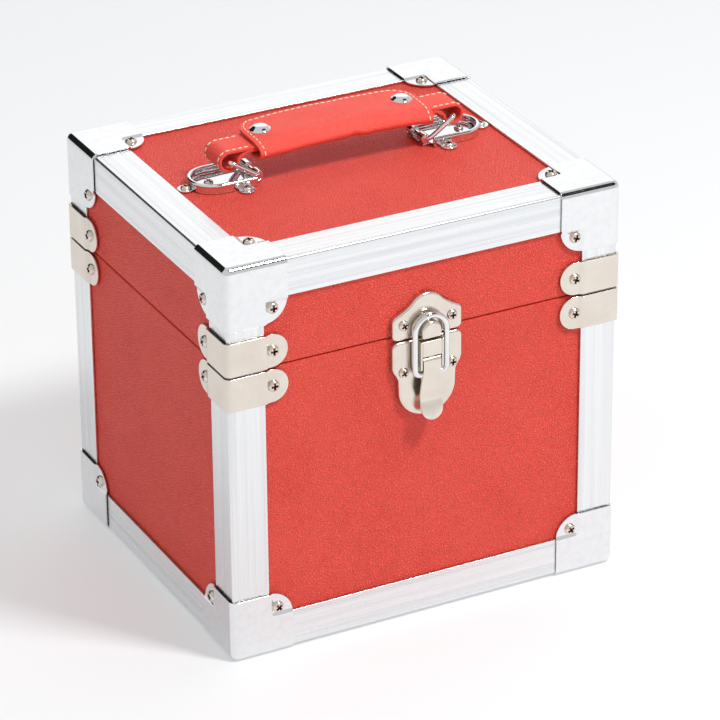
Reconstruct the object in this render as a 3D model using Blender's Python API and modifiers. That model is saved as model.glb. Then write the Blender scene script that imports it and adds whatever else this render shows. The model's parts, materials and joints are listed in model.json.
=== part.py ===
"""Carry case for seven-inch records: a covered box with a hinged lid, aluminium edge trims,
chrome corners, a draw latch and a leather handle on two rings.

Metres, +Z up, the latch faces -Y. The origin is at the centre of the case's footprint, on the
surface that it stands on.
"""

from math import asin, cos, pi, radians, sin

import bmesh
import bpy
from mathutils import Matrix, Vector

# Case, measured over the aluminium trims
WIDTH = 0.217
DEPTH = 0.186
HEIGHT = 0.215
SEAM_Z = 0.158
SEAM_GAP = 0.0006
BOARD = 0.005
GAP = 0.0003

# Edge trims and corner metal
TRIM_LEG = 0.020
TRIM_SHEET = 0.0012
CORNER_LEG = 0.034
CORNER_SHEET = 0.001
CORNER_EDGE_RADIUS = 0.0025
CORNER_TAB_RADIUS = 0.013
BRACE_LEG = 0.034
BRACE_HEIGHT = 0.0179
BRACE_SHEET = 0.0012
BRACE_OFFSET = 0.0095
BRACE_BEND = 0.003
BRACE_END_FLAT = 0.0002

# Latch, with depths counted outwards from the front board
PLATE_LIFT = 0.0033
PLATE_SHEET = 0.001
STRIKE_BOTTOM = 0.1568
STRIKE_TOP = 0.1800
STRIKE_HALF_WIDTH = 0.0194
STRIKE_DOME = 0.0105
STRIKE_SHOULDER = [(0.0115, 0.1733), (0.0148, 0.1713)]
STRIKE_LOBE_Z = 0.1668
STRIKE_LOBE = 0.0035
STRIKE_FOOT = 0.0027
BASE_PLATE_TOP = 0.1545
BASE_PLATE_HALF_WIDTH = 0.0195
BASE_PLATE_CORNER = 0.0035
BASE_PLATE_WAIST = [(0.0195, 0.1400), (0.0178, 0.1365), (0.0162, 0.1338)]
BASE_PLATE_BELLY = 0.0152
BASE_PLATE_BELLY_X = 0.0008
BASE_PLATE_BELLY_Z = 0.1282
KEEPER_HALF_WIDTH = 0.0055
KEEPER_TOP = 0.1664
KEEPER_DEPTH = 0.0086
EAR_INSIDE = 0.0052
EAR_SHEET = 0.0012
EAR_BOTTOM = 0.1393
EAR_TOP = 0.1559
BRIDGE_BOTTOM = 0.1473
LEVER_DEPTH = 0.0060
LEVER_Z = 0.1445
LEVER_KNUCKLE = 0.0024
LEVER_TIP_OUT = 0.0034
LEVER_TAB = 0.0060
LEVER_TAB_DROP = 0.0257
LEVER_MOST_HALF_WIDTH = 0.0080
LEVER_PIN_RADIUS = 0.0010
PIN_HOLE_RADIUS = 0.0013
BAIL_DEPTH = 0.0064
BAIL_Z = 0.1375
BAIL_WIRE = 0.0012
BAIL_HALF_WIDTH = 0.0088
BAIL_ARC_Z = 0.1603
BAIL_BEND = 0.0022
BAIL_END_X = 0.0015
BAIL_HOLE_RADIUS = 0.0016

# Handle
HANDLE_Y = 0.004
CUP_INNER_X = 0.0455
CUP_OUTER_X = 0.0815
CUP_HALF_WIDTH = 0.0132
CUP_HEIGHT = 0.0054
CUP_WALL = 0.0010
CUP_FLOOR = 0.0012
CUP_OPEN_X = 0.0500
LUG_RADIUS = 0.0042
LUG_SHEET = 0.0010
LUG_OUT = 0.0023
LUG_X = 0.0570
RING_PIVOT_X = 0.0473
RING_PIVOT_LIFT = 0.0039
RING_LENGTH = 0.0192
RING_BAR_X = 0.0633
RING_WIRE = 0.00125
RING_HALF_WIDTH = 0.0106
RING_BEND = 0.0025
BARREL_RADIUS = 0.0026
BARREL_HALF_LENGTH = 0.0089
BARREL_HOLE = 0.0016
STRAP_HALF_WIDTH = 0.0090
STRAP_THICK = 0.0030
STRAP_INNER_X = 0.0250
EYE_RADIUS = 0.0057
EYE_HOLE = 0.0023
GRIP_HALF_LENGTH = 0.0490
GRIP_HALF_WIDTH = 0.0171
GRIP_SHIFT_Y = 0.0019
GRIP_HALF_HEIGHT = 0.0040
GRIP_DROP = 0.0009
GRIP_SLACK = 0.0005
GRIP_EDGE_RADIUS = 0.0037
SNAP_X = 0.040
SNAP_Y = 0.004
SNAP_RADIUS = 0.0055
SNAP_HEIGHT = 0.0024

# Rear hinges
HINGE_X = 0.055
HINGE_HALF_WIDTH = 0.022
HINGE_OUT = 0.0020
HINGE_BARREL = 0.0023
HINGE_PIN = 0.0010
HINGE_BORE = 0.0013
HINGE_LEAF = 0.018
HINGE_SHEET = 0.0012
HINGE_CLEAR = 0.0031
HINGE_WEB_OVERLAP = 0.001

# Flats round a rod
ROD_SIDES = 24

# How far a cutter runs past what it cuts
OVERRUN = 0.012

# Levels worked out from the sizes above
BOARD_IN = GAP + TRIM_SHEET
CORNER_OUT = GAP + CORNER_SHEET
BRACE_OUT = GAP + BRACE_SHEET
FRONT = -DEPTH / 2 + BOARD_IN
BACK = DEPTH / 2 - BOARD_IN
TOP = HEIGHT - BOARD_IN
LID_BOTTOM = SEAM_Z + SEAM_GAP / 2
BASE_TOP = SEAM_Z - SEAM_GAP / 2
FRONT_REACH = -FRONT + LEVER_DEPTH + LEVER_TIP_OUT
BACK_REACH = DEPTH / 2 + HINGE_OUT + HINGE_BARREL
CASE_Y = (FRONT_REACH - BACK_REACH) / 2
RING_PIVOT_Z = TOP + RING_PIVOT_LIFT
RING_TILT = asin(((RING_LENGTH**2 - (RING_BAR_X - RING_PIVOT_X) ** 2) ** 0.5) / RING_LENGTH)
EYE_Z = RING_PIVOT_Z + RING_LENGTH * sin(RING_TILT)
STRAP_TOP = EYE_Z + EYE_RADIUS
STRAP_MID = STRAP_TOP - STRAP_THICK / 2

SIDES = {"left": -1, "right": 1}
ENDS = {"front": -1, "back": 1}

# Rotations that stand a flat outline up: its X and Y become the case's X and Z, or Y and Z
FACING_FRONT = Matrix.Rotation(pi / 2, 4, "X")
FACING_SIDE = Matrix.Rotation(pi / 2, 4, "Z") @ Matrix.Rotation(pi / 2, 4, "X")


# ---------------------------------------------------------------- scene and materials


def clear_scene():
    for obj in list(bpy.data.objects):
        bpy.data.objects.remove(obj)
    for mesh in list(bpy.data.meshes):
        bpy.data.meshes.remove(mesh)


def new_collection(name):
    made = bpy.data.collections.new(name)
    bpy.context.scene.collection.children.link(made)
    return made


def new_material(name, colour, roughness, metallic=0.0):
    made = bpy.data.materials.new(name)
    made.use_nodes = True
    made.diffuse_color = (*colour, 1.0)
    shader = made.node_tree.nodes["Principled BSDF"]
    shader.inputs["Base Color"].default_value = (*colour, 1.0)
    shader.inputs["Roughness"].default_value = roughness
    shader.inputs["Metallic"].default_value = metallic
    return made


def new_empty(name, location, parent=None):
    empty = bpy.data.objects.new(name, None)
    PARTS.objects.link(empty)
    empty.parent = parent
    empty.location = location
    empty.empty_display_size = 0.01
    return empty


def new_object(name, mesh, parent, matrix, material=None):
    """A mesh object placed under its parent. With no material it is a cutter or a helper."""
    made = bpy.data.objects.new(name, mesh)
    made.parent = parent
    made.matrix_local = matrix
    if material:
        mesh.materials.append(material)
        PARTS.objects.link(made)
        return made
    HELPERS.objects.link(made)
    made.hide_render = True
    made.display_type = "WIRE"
    return made


def at(x, y, z):
    return Matrix.Translation((x, y, z))


# ---------------------------------------------------------------- shapes


def box_mesh(name, low, high):
    bm = bmesh.new()
    bmesh.ops.create_cube(bm, size=1.0)
    low = Vector(low)
    high = Vector(high)
    size = high - low
    for vert in bm.verts:
        vert.co = Vector(a * b for a, b in zip(vert.co, size)) + (low + high) / 2
    return finished(bm, name)


def rod_mesh(name, radius, half_length, axis="X"):
    """A round rod centred on the origin, along the X or the Y axis."""
    bm = bmesh.new()
    turn = Matrix.Rotation(pi / 2, 4, "Y" if axis == "X" else "X")
    bmesh.ops.create_cone(
        bm,
        cap_ends=True,
        segments=ROD_SIDES,
        radius1=radius,
        radius2=radius,
        depth=2 * half_length,
        matrix=turn,
    )
    return finished(bm, name)


def finished(bm, name, smooth_below=None):
    bmesh.ops.recalc_face_normals(bm, faces=bm.faces)
    mesh = bpy.data.meshes.new(name)
    bm.to_mesh(mesh)
    bm.free()
    if smooth_below is not None:
        mesh.shade_smooth()
        mesh.set_sharp_from_angle(angle=radians(smooth_below))
    return mesh


def mesh_from_curve(curve_object, name):
    """The curve object's solid as a mesh, with its loose caps welded on. The curve is removed."""
    graph = bpy.context.evaluated_depsgraph_get()
    graph.update()
    mesh = bpy.data.meshes.new_from_object(curve_object.evaluated_get(graph))
    mesh.name = name
    bm = bmesh.new()
    bm.from_mesh(mesh)
    bmesh.ops.remove_doubles(bm, verts=bm.verts, dist=1e-6)
    bmesh.ops.recalc_face_normals(bm, faces=bm.faces)
    bm.to_mesh(mesh)
    bm.free()
    mesh.shade_smooth()
    mesh.set_sharp_from_angle(angle=radians(35))
    bpy.data.objects.remove(curve_object)
    return mesh


def curve_object(name, points, closed, dimensions):
    curve = bpy.data.curves.new(name, "CURVE")
    curve.dimensions = dimensions
    spline = curve.splines.new("POLY")
    spline.points.add(len(points) - 1)
    for target, point in zip(spline.points, points):
        target.co = (*Vector(point).to_3d(), 1.0)
    spline.use_cyclic_u = closed
    made = bpy.data.objects.new(name, curve)
    HELPERS.objects.link(made)
    return made


def plate_mesh(name, outline, low, high):
    """A flat outline in X and Y, filling the depths from low to high along Z."""
    made = curve_object(name, outline, True, "2D")
    made.data.fill_mode = "BOTH"
    made.data.extrude = (high - low) / 2
    mesh = mesh_from_curve(made, name)
    mesh.transform(at(0, 0, (low + high) / 2))
    return mesh


def wire_mesh(name, points, radius, closed):
    made = curve_object(name, points, closed, "3D")
    made.data.bevel_depth = radius
    made.data.bevel_resolution = 2
    made.data.use_fill_caps = True
    return mesh_from_curve(made, name)


def arc(cx, cy, radius, start, end, steps):
    """Points along an arc, with its angles in degrees."""
    angles = [radians(start + (end - start) * i / steps) for i in range(steps + 1)]
    return [(cx + radius * cos(a), cy + radius * sin(a)) for a in angles]


def mirrored(half):
    """A closed outline from its right half, which runs from top to bottom."""
    return half + [(-x, y) for x, y in reversed(half) if abs(x) > 1e-9]


def boolean(target, operation, other):
    modifier = target.modifiers.new(operation.lower(), "BOOLEAN")
    modifier.operation = operation
    modifier.solver = "EXACT"
    modifier.object = other


def solidify_inwards(target, thickness):
    modifier = target.modifiers.new("sheet", "SOLIDIFY")
    modifier.thickness = thickness
    modifier.offset = -1.0
    modifier.use_even_offset = True


# ---------------------------------------------------------------- boards and trims


def add_board(name, low, high, parent):
    new_object(name, box_mesh(name, low, high), parent, at(0, 0, 0), COVERING)


def add_box(prefix, parent, wall_low, wall_high, end_name, end_low, end_high):
    """Four walls and one closing board. The front and back boards run the whole width."""
    x = WIDTH / 2 - BOARD_IN
    y = BACK
    side_y = y - BOARD - GAP
    for name, sign in ENDS.items():
        ys = sorted((sign * y, sign * (y - BOARD)))
        add_board(f"{prefix}_{name}_board", (-x, ys[0], wall_low), (x, ys[1], wall_high), parent)
    for name, sign in SIDES.items():
        xs = sorted((sign * x, sign * (x - BOARD)))
        add_board(
            f"{prefix}_{name}_board",
            (xs[0], -side_y, wall_low),
            (xs[1], side_y, wall_high),
            parent,
        )
    add_board(f"{prefix}_{end_name}_board", (-x, -y, end_low), (x, y, end_high), parent)


def oriented(corner, leg_a, leg_b):
    """A matrix whose X and Y run along two legs, with its origin at their corner."""
    a = Vector(leg_a)
    b = Vector(leg_b)
    turn = Matrix((a, b, a.cross(b))).transposed().to_4x4()
    return Matrix.Translation(corner) @ turn


def add_trim(name, parent, corner, leg_a, leg_b, length):
    """An aluminium angle of two legs. corner is the middle of its outer edge."""
    soft = TRIM_SHEET
    outline = arc(soft, soft, soft, 180, 270, 3) + [
        (TRIM_LEG, 0),
        (TRIM_LEG, TRIM_SHEET),
        (TRIM_SHEET, TRIM_SHEET),
        (TRIM_SHEET, TRIM_LEG),
        (0, TRIM_LEG),
    ]
    mesh = plate_mesh(name, outline, -length / 2, length / 2)
    new_object(name, mesh, parent, oriented(corner, leg_a, leg_b), ALUMINIUM)


def add_level_trims(prefix, parent, z, up):
    """The four trims round the top or the bottom. They stop short of the corners."""
    stop = TRIM_LEG + GAP
    inwards_z = (0, 0, -up)
    for name, sign in ENDS.items():
        corner = (0, sign * DEPTH / 2, z)
        add_trim(f"{prefix}_{name}_trim", parent, corner, (0, -sign, 0), inwards_z, WIDTH - 2 * stop)
    for name, sign in SIDES.items():
        corner = (sign * WIDTH / 2, 0, z)
        add_trim(f"{prefix}_{name}_trim", parent, corner, (-sign, 0, 0), inwards_z, DEPTH - 2 * stop)


def add_upright_trims(prefix, parent, low, high):
    for end, y_sign in ENDS.items():
        for side, x_sign in SIDES.items():
            corner = (x_sign * WIDTH / 2, y_sign * DEPTH / 2, (low + high) / 2)
            name = f"{prefix}_{end}_{side}_trim"
            add_trim(name, parent, corner, (-x_sign, 0, 0), (0, -y_sign, 0), high - low)


# ---------------------------------------------------------------- corner metal


def open_corner(size, keep_bottom):
    """Two or three walls of a box whose outer corner or edge is at the origin. The walls lie
    on X = 0 and Y = 0, and on Z = 0 with keep_bottom."""
    bm = bmesh.new()
    bmesh.ops.create_cube(bm, size=1.0)
    for vert in bm.verts:
        vert.co = Vector((c + 0.5) * s for c, s in zip(vert.co, size))
    kept = 3 if keep_bottom else 2
    dropped = [
        face
        for face in bm.faces
        if not any(abs(face.calc_center_median()[axis]) < 1e-7 for axis in range(kept))
    ]
    bmesh.ops.delete(bm, geom=dropped, context="FACES")
    return bm


def round_corners(bm, verts, radius, steps):
    bmesh.ops.bevel(
        bm,
        geom=verts,
        offset=radius,
        offset_type="OFFSET",
        segments=steps,
        profile=0.5,
        affect="VERTICES",
    )


def round_edges(bm, radius, steps):
    shared = [edge for edge in bm.edges if len(edge.link_faces) == 2]
    bmesh.ops.bevel(
        bm,
        geom=shared,
        offset=radius,
        offset_type="OFFSET",
        segments=steps,
        profile=0.5,
        affect="EDGES",
    )


def corner_mesh():
    """A pressed corner: three square plates with a rounded tab each."""
    bm = open_corner((CORNER_LEG,) * 3, True)
    tabs = [v for v in bm.verts if sum(abs(c) > CORNER_LEG / 2 for c in v.co) == 2]
    round_corners(bm, tabs, CORNER_TAB_RADIUS, 5)
    round_edges(bm, CORNER_EDGE_RADIUS, 3)
    return finished(bm, "corner", 35)


def brace_mesh():
    """A strip round an upright edge, with a round end on each face."""
    bm = open_corner((BRACE_LEG, BRACE_LEG, BRACE_HEIGHT), False)
    for vert in bm.verts:
        vert.co.z -= BRACE_HEIGHT / 2
    ends = [v for v in bm.verts if max(abs(v.co.x), abs(v.co.y)) > BRACE_LEG / 2]
    round_corners(bm, ends, BRACE_HEIGHT / 2 - BRACE_END_FLAT, 5)
    round_edges(bm, BRACE_BEND, 3)
    return finished(bm, "brace", 35)


def quarter_turn(x_sign, y_sign):
    """The turn about Z that brings a corner at the low X and low Y to another corner."""
    turns = {(-1, -1): 0, (1, -1): 1, (1, 1): 2, (-1, 1): 3}
    return Matrix.Rotation(turns[x_sign, y_sign] * pi / 2, 4, "Z")


def add_corners(prefix, parent, z, upside_down):
    mesh = corner_mesh()
    for end, y_sign in ENDS.items():
        for side, x_sign in SIDES.items():
            x = x_sign * (WIDTH / 2 + CORNER_OUT)
            y = y_sign * (DEPTH / 2 + CORNER_OUT)
            turn = quarter_turn(x_sign, y_sign)
            if upside_down:
                turn = turn @ Matrix.Rotation(pi / 2, 4, "Z") @ Matrix.Rotation(pi, 4, "X")
            name = f"{prefix}_{end}_{side}_corner"
            made = new_object(name, mesh.copy(), parent, at(x, y, z) @ turn, CHROME)
            solidify_inwards(made, CORNER_SHEET)


def add_braces(prefix, parent, z):
    mesh = brace_mesh()
    for end, y_sign in ENDS.items():
        for side, x_sign in SIDES.items():
            x = x_sign * (WIDTH / 2 + BRACE_OUT)
            y = y_sign * (DEPTH / 2 + BRACE_OUT)
            name = f"{prefix}_{end}_{side}_brace"
            matrix = at(x, y, z) @ quarter_turn(x_sign, y_sign)
            made = new_object(name, mesh.copy(), parent, matrix, NICKEL)
            solidify_inwards(made, BRACE_SHEET)


# ---------------------------------------------------------------- latch


def dished_plate(name, outline, parent, material):
    """A pressed plate: a face with a rim that turns back to the board."""
    mesh = plate_mesh(name, outline, GAP, PLATE_LIFT)
    made = new_object(name, mesh, parent, at(0, FRONT, 0) @ FACING_FRONT, material)
    middle_y = sum(y for _, y in outline) / len(outline)
    high = max(y for _, y in outline)
    low = min(y for _, y in outline)
    wide = max(x for x, _ in outline)
    shrink_x = 1 - PLATE_SHEET / wide
    shrink_y = 1 - 2 * PLATE_SHEET / (high - low)
    inner = [(x * shrink_x, middle_y + (y - middle_y) * shrink_y) for x, y in outline]
    hollow = plate_mesh(name + "_hollow", inner, -GAP, PLATE_LIFT - PLATE_SHEET)
    cutter = new_object(name + "_hollow", hollow, parent, at(0, FRONT, 0) @ FACING_FRONT)
    boolean(made, "DIFFERENCE", cutter)
    return made


def strike_outline():
    """The lid's plate: a domed top, hollow shoulders, two lobes and a flat foot."""
    half = arc(0, STRIKE_TOP - STRIKE_DOME, STRIKE_DOME, 90, 48, 5)
    half += STRIKE_SHOULDER
    half += arc(STRIKE_HALF_WIDTH - STRIKE_LOBE, STRIKE_LOBE_Z, STRIKE_LOBE, 55, 0, 4)
    foot_x = STRIKE_HALF_WIDTH - STRIKE_FOOT
    half += arc(foot_x, STRIKE_BOTTOM + STRIKE_FOOT, STRIKE_FOOT, 0, -90, 4)
    return mirrored(half)


def base_plate_outline():
    """The base's plate: straight sides, a waist and a round belly behind the lever's tip."""
    corner_x = BASE_PLATE_HALF_WIDTH - BASE_PLATE_CORNER
    half = arc(corner_x, BASE_PLATE_TOP - BASE_PLATE_CORNER, BASE_PLATE_CORNER, 90, 0, 4)
    half += BASE_PLATE_WAIST
    half += arc(BASE_PLATE_BELLY_X, BASE_PLATE_BELLY_Z, BASE_PLATE_BELLY, 8, -84, 8)
    return mirrored(half)


def add_strike_plate(parent):
    plate = dished_plate("latch_strike_plate", strike_outline(), parent, NICKEL)
    low = STRIKE_BOTTOM + GAP
    centre = KEEPER_TOP - KEEPER_HALF_WIDTH
    outline = arc(0, centre, KEEPER_HALF_WIDTH, 180, 0, 10)
    outline += [(KEEPER_HALF_WIDTH, low), (-KEEPER_HALF_WIDTH, low)]
    tongue = plate_mesh("keeper", outline, PLATE_LIFT - PLATE_SHEET / 2, KEEPER_DEPTH)
    helper = new_object("keeper", tongue, parent, at(0, FRONT, 0) @ FACING_FRONT)
    boolean(plate, "UNION", helper)


def add_latch_base(parent):
    plate = dished_plate("latch_base_plate", base_plate_outline(), parent, NICKEL)
    root = PLATE_LIFT - PLATE_SHEET / 2
    front = LEVER_DEPTH + LEVER_KNUCKLE
    outside = EAR_INSIDE + EAR_SHEET
    shape = [(-outside, EAR_BOTTOM), (outside, EAR_BOTTOM), (outside, EAR_TOP), (-outside, EAR_TOP)]
    channel = new_object(
        "channel", plate_mesh("channel", shape, root, front), parent, at(0, FRONT, 0) @ FACING_FRONT
    )
    inside = [
        (-EAR_INSIDE, EAR_BOTTOM - OVERRUN),
        (EAR_INSIDE, EAR_BOTTOM - OVERRUN),
        (EAR_INSIDE, BRIDGE_BOTTOM),
        (-EAR_INSIDE, BRIDGE_BOTTOM),
    ]
    mouth = new_object(
        "mouth",
        plate_mesh("mouth", inside, PLATE_LIFT, front + OVERRUN),
        parent,
        at(0, FRONT, 0) @ FACING_FRONT,
    )
    bore = new_object(
        "pin_bore",
        rod_mesh("pin_bore", PIN_HOLE_RADIUS, OVERRUN),
        parent,
        at(0, FRONT - LEVER_DEPTH, LEVER_Z),
    )
    boolean(plate, "UNION", channel)
    boolean(plate, "DIFFERENCE", mouth)
    boolean(plate, "DIFFERENCE", bore)
    pin = rod_mesh("latch_pin", LEVER_PIN_RADIUS, outside)
    new_object("latch_pin", pin, parent, at(0, FRONT - LEVER_DEPTH, LEVER_Z), NICKEL)


def lever_side():
    """The lever seen from its side: depth and height from its pin. It hangs from a knuckle,
    bends in below its arm and flares out again as the finger tab."""
    r = LEVER_KNUCKLE
    outline = arc(0, 0, r, 0, 222, 14)
    outline += [(-0.0018, -0.0100), (0.0012, -0.0130), (0.0012, -0.0168), (-0.0004, -0.0208)]
    outline += [(0.0021, -0.0312), (LEVER_TIP_OUT, -0.0315), (0.0010, -0.0210), (r, -0.0172)]
    return outline


def lever_front():
    """The lever seen from the front: a narrow arm, a wider waist and a round tab."""
    half = [(0.0049, 0.0040), (0.0049, -0.0066), (0.0056, -0.0105), (0.0066, -0.0150)]
    half += [(0.0064, -0.0175), (0.0058, -0.0205)]
    half += arc(0, -LEVER_TAB_DROP, LEVER_TAB, 0, -90, 6)
    return mirrored(half)


def add_lever(pivot):
    wide = LEVER_MOST_HALF_WIDTH
    made_mesh = plate_mesh("latch_lever", lever_side(), -wide, wide)
    # The side outline counts depth outwards, which is -Y here.
    facing = Matrix.Rotation(-pi / 2, 4, "Z") @ Matrix.Rotation(pi / 2, 4, "X")
    lever = new_object("latch_lever", made_mesh, pivot, facing, NICKEL)
    outline = plate_mesh("lever_outline", lever_front(), -OVERRUN, OVERRUN)
    helper = new_object("lever_outline", outline, pivot, FACING_FRONT)
    bore_mesh = rod_mesh("lever_bore", PIN_HOLE_RADIUS, OVERRUN)
    bore = new_object("lever_bore", bore_mesh, pivot, at(0, 0, 0))
    place = at(0, LEVER_DEPTH - BAIL_DEPTH, BAIL_Z - LEVER_Z)
    hole_mesh = rod_mesh("bail_hole", BAIL_HOLE_RADIUS, OVERRUN)
    hole = new_object("bail_hole", hole_mesh, pivot, place)
    boolean(lever, "INTERSECT", helper)
    boolean(lever, "DIFFERENCE", bore)
    boolean(lever, "DIFFERENCE", hole)


def add_bail(pivot):
    """A wire loop: a round top, straight legs and two ends that turn in to the lever."""
    top = BAIL_ARC_Z - BAIL_Z
    half = [(-x, y) for x, y in arc(0, top, BAIL_HALF_WIDTH, 90, 0, 8)]
    corner = BAIL_HALF_WIDTH - BAIL_BEND
    half += [(-x, y) for x, y in arc(corner, BAIL_BEND, BAIL_BEND, 0, -90, 4)]
    half += [(-BAIL_END_X, 0)]
    right = [(-x, y) for x, y in half[:0:-1]]
    points = [(x, 0, z) for x, z in right + half]
    mesh = wire_mesh("latch_bail", points, BAIL_WIRE, False)
    new_object("latch_bail", mesh, pivot, at(0, 0, 0), CHROME)


# ---------------------------------------------------------------- handle


def cup_outline(inset, inner_x):
    """The cup seen from above, running outwards along X: a straight inner end and a round one."""
    radius = CUP_HALF_WIDTH - inset
    centre = CUP_OUTER_X - CUP_HALF_WIDTH
    return [(inner_x, -radius)] + arc(centre, 0, radius, -90, 90, 12) + [(inner_x, radius)]


def add_cup(name, sign, parent):
    """A dish with a lug for a screw at its outer end and on each side, and a barrel across
    its open inner end for the ring."""
    place = at(0, HANDLE_Y, TOP)
    if sign < 0:
        place = place @ Matrix.Rotation(pi, 4, "Z")
    mesh = plate_mesh(name, cup_outline(0, CUP_OPEN_X), GAP, CUP_HEIGHT)
    cup = new_object(name, mesh, parent, place, CHROME)
    side_y = CUP_HALF_WIDTH + LUG_OUT
    spots = [(CUP_OUTER_X + LUG_OUT, 0), (LUG_X, side_y), (LUG_X, -side_y)]
    for number, (x, y) in enumerate(spots):
        lug = plate_mesh("lug", arc(x, y, LUG_RADIUS, 0, 345, 23), GAP, GAP + LUG_SHEET)
        boolean(cup, "UNION", new_object(f"{name}_lug_{number}", lug, parent, place))
    tongue = box_mesh(
        "tongue",
        (CUP_INNER_X, -BARREL_HALF_LENGTH, GAP),
        (CUP_OPEN_X + CUP_WALL, BARREL_HALF_LENGTH, GAP + CUP_FLOOR + CUP_WALL / 2),
    )
    boolean(cup, "UNION", new_object(name + "_tongue", tongue, parent, place))
    hollow = plate_mesh("dish", cup_outline(CUP_WALL, CUP_INNER_X - OVERRUN), GAP + CUP_FLOOR, OVERRUN)
    boolean(cup, "DIFFERENCE", new_object(name + "_dish", hollow, parent, place))
    barrel = rod_mesh("barrel", BARREL_RADIUS, BARREL_HALF_LENGTH - GAP / 2, "Y")
    pivot = place @ at(RING_PIVOT_X, 0, RING_PIVOT_LIFT)
    boolean(cup, "UNION", new_object(name + "_barrel", barrel, parent, pivot))
    bore = rod_mesh("bore", BARREL_HOLE, OVERRUN, "Y")
    boolean(cup, "DIFFERENCE", new_object(name + "_bore", bore, parent, pivot))


def add_ring(name, sign, pivot):
    """A rectangular wire loop. Its inner bar turns in the cup and its outer bar carries the strap."""
    far = RING_LENGTH
    wide = RING_HALF_WIDTH
    bend = RING_BEND
    outline = arc(bend, -wide + bend, bend, 180, 270, 4)
    outline += arc(far - bend, -wide + bend, bend, 270, 360, 4)
    outline += arc(far - bend, wide - bend, bend, 0, 90, 4)
    outline += arc(bend, wide - bend, bend, 90, 180, 4)
    mesh = wire_mesh(name, [(x, y, 0) for x, y in outline], RING_WIRE, True)
    turn = Matrix.Rotation(pi if sign < 0 else 0, 4, "Z") @ Matrix.Rotation(-RING_TILT, 4, "Y")
    new_object(name, mesh, pivot, turn, CHROME)


def add_strap(name, sign, pivot):
    """A folded end of the strap: a flat tongue inside the grip and an eye round the ring's bar."""
    reach = RING_BAR_X - STRAP_INNER_X
    low = EYE_RADIUS - STRAP_THICK
    tongue = [(-reach, EYE_RADIUS), (-reach, low), (-0.0050, low)]
    outline = arc(0, 0, EYE_RADIUS, 90, -208, 22) + list(reversed(tongue))
    half = STRAP_HALF_WIDTH
    mesh = plate_mesh(name, outline, -half, half)
    turn = Matrix.Rotation(pi if sign < 0 else 0, 4, "Z") @ FACING_FRONT
    strap = new_object(name, mesh, pivot, turn, LEATHER)
    eye = new_object(name + "_eye", rod_mesh("eye", EYE_HOLE, OVERRUN, "Y"), pivot, at(0, 0, 0))
    boolean(strap, "DIFFERENCE", eye)


def add_grip(parent):
    """The folded leather sleeve that the hand holds, open at both ends for the strap."""
    soft = GRIP_EDGE_RADIUS
    corner_y = GRIP_HALF_WIDTH - soft
    corner_z = GRIP_HALF_HEIGHT - soft
    outline = arc(corner_y, corner_z, soft, 0, 90, 4)
    outline += arc(-corner_y, corner_z, soft, 90, 180, 4)
    outline += arc(-corner_y, -corner_z, soft, 180, 270, 4)
    outline += arc(corner_y, -corner_z, soft, 270, 360, 4)
    mesh = plate_mesh("handle_grip", outline, -GRIP_HALF_LENGTH, GRIP_HALF_LENGTH)
    middle = at(0, HANDLE_Y + GRIP_SHIFT_Y, STRAP_MID - GRIP_DROP)
    grip = new_object("handle_grip", mesh, parent, middle @ FACING_SIDE, LEATHER)
    half_tall = STRAP_THICK / 2 + GRIP_SLACK
    inside = Vector((GRIP_HALF_LENGTH + OVERRUN, STRAP_HALF_WIDTH + GRIP_SLACK, half_tall))
    tunnel_mesh = box_mesh("tunnel", -inside, inside)
    boolean(grip, "DIFFERENCE", new_object("tunnel", tunnel_mesh, parent, at(0, HANDLE_Y, STRAP_MID)))
    low = STRAP_MID - GRIP_DROP + GRIP_HALF_HEIGHT + GAP
    for name, sign in SIDES.items():
        spot = at(sign * SNAP_X, HANDLE_Y + SNAP_Y, low)
        new_object(f"handle_{name}_snap", snap_mesh(), parent, spot, CHROME)


def snap_mesh():
    """A domed snap cap, as half of a flattened ball."""
    bm = bmesh.new()
    bmesh.ops.create_uvsphere(bm, u_segments=20, v_segments=10, radius=SNAP_RADIUS)
    bmesh.ops.bisect_plane(
        bm,
        geom=bm.verts[:] + bm.edges[:] + bm.faces[:],
        plane_co=(0, 0, SNAP_RADIUS * 0.05),
        plane_no=(0, 0, 1),
        clear_inner=True,
    )
    rim = [edge for edge in bm.edges if len(edge.link_faces) == 1]
    bmesh.ops.holes_fill(bm, edges=rim)
    for vert in bm.verts:
        vert.co.z = (vert.co.z - SNAP_RADIUS * 0.05) * SNAP_HEIGHT / SNAP_RADIUS
    return finished(bm, "snap", 50)


# ---------------------------------------------------------------- hinges


def hinge_leaf(name, parent, x, up, knuckles):
    """One leaf of a butt hinge, its knuckles as spans along X from the hinge's middle. up is 1
    for the lid's leaf, above the axis, and -1 for the base's."""
    axis = at(x, DEPTH / 2 + HINGE_OUT, SEAM_Z)
    board = BACK - (DEPTH / 2 + HINGE_OUT) + GAP
    zs = sorted((up * HINGE_CLEAR, up * HINGE_LEAF))
    low = (-HINGE_HALF_WIDTH, board, zs[0])
    high = (HINGE_HALF_WIDTH, board + HINGE_SHEET, zs[1])
    leaf = new_object(name, box_mesh(name, low, high), parent, axis, NICKEL)
    web_z = sorted((0.0, up * (HINGE_CLEAR + HINGE_WEB_OVERLAP)))
    for number, (start, end) in enumerate(knuckles):
        middle = (start + end) / 2
        half = (end - start) / 2
        web = box_mesh("web", (start, board, web_z[0]), (end, board + HINGE_SHEET, web_z[1]))
        boolean(leaf, "UNION", new_object(f"{name}_web_{number}", web, parent, axis))
        barrel = rod_mesh("barrel", HINGE_BARREL, half)
        place = axis @ at(middle, 0, 0)
        boolean(leaf, "UNION", new_object(f"{name}_barrel_{number}", barrel, parent, place))
    return leaf, axis


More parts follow.
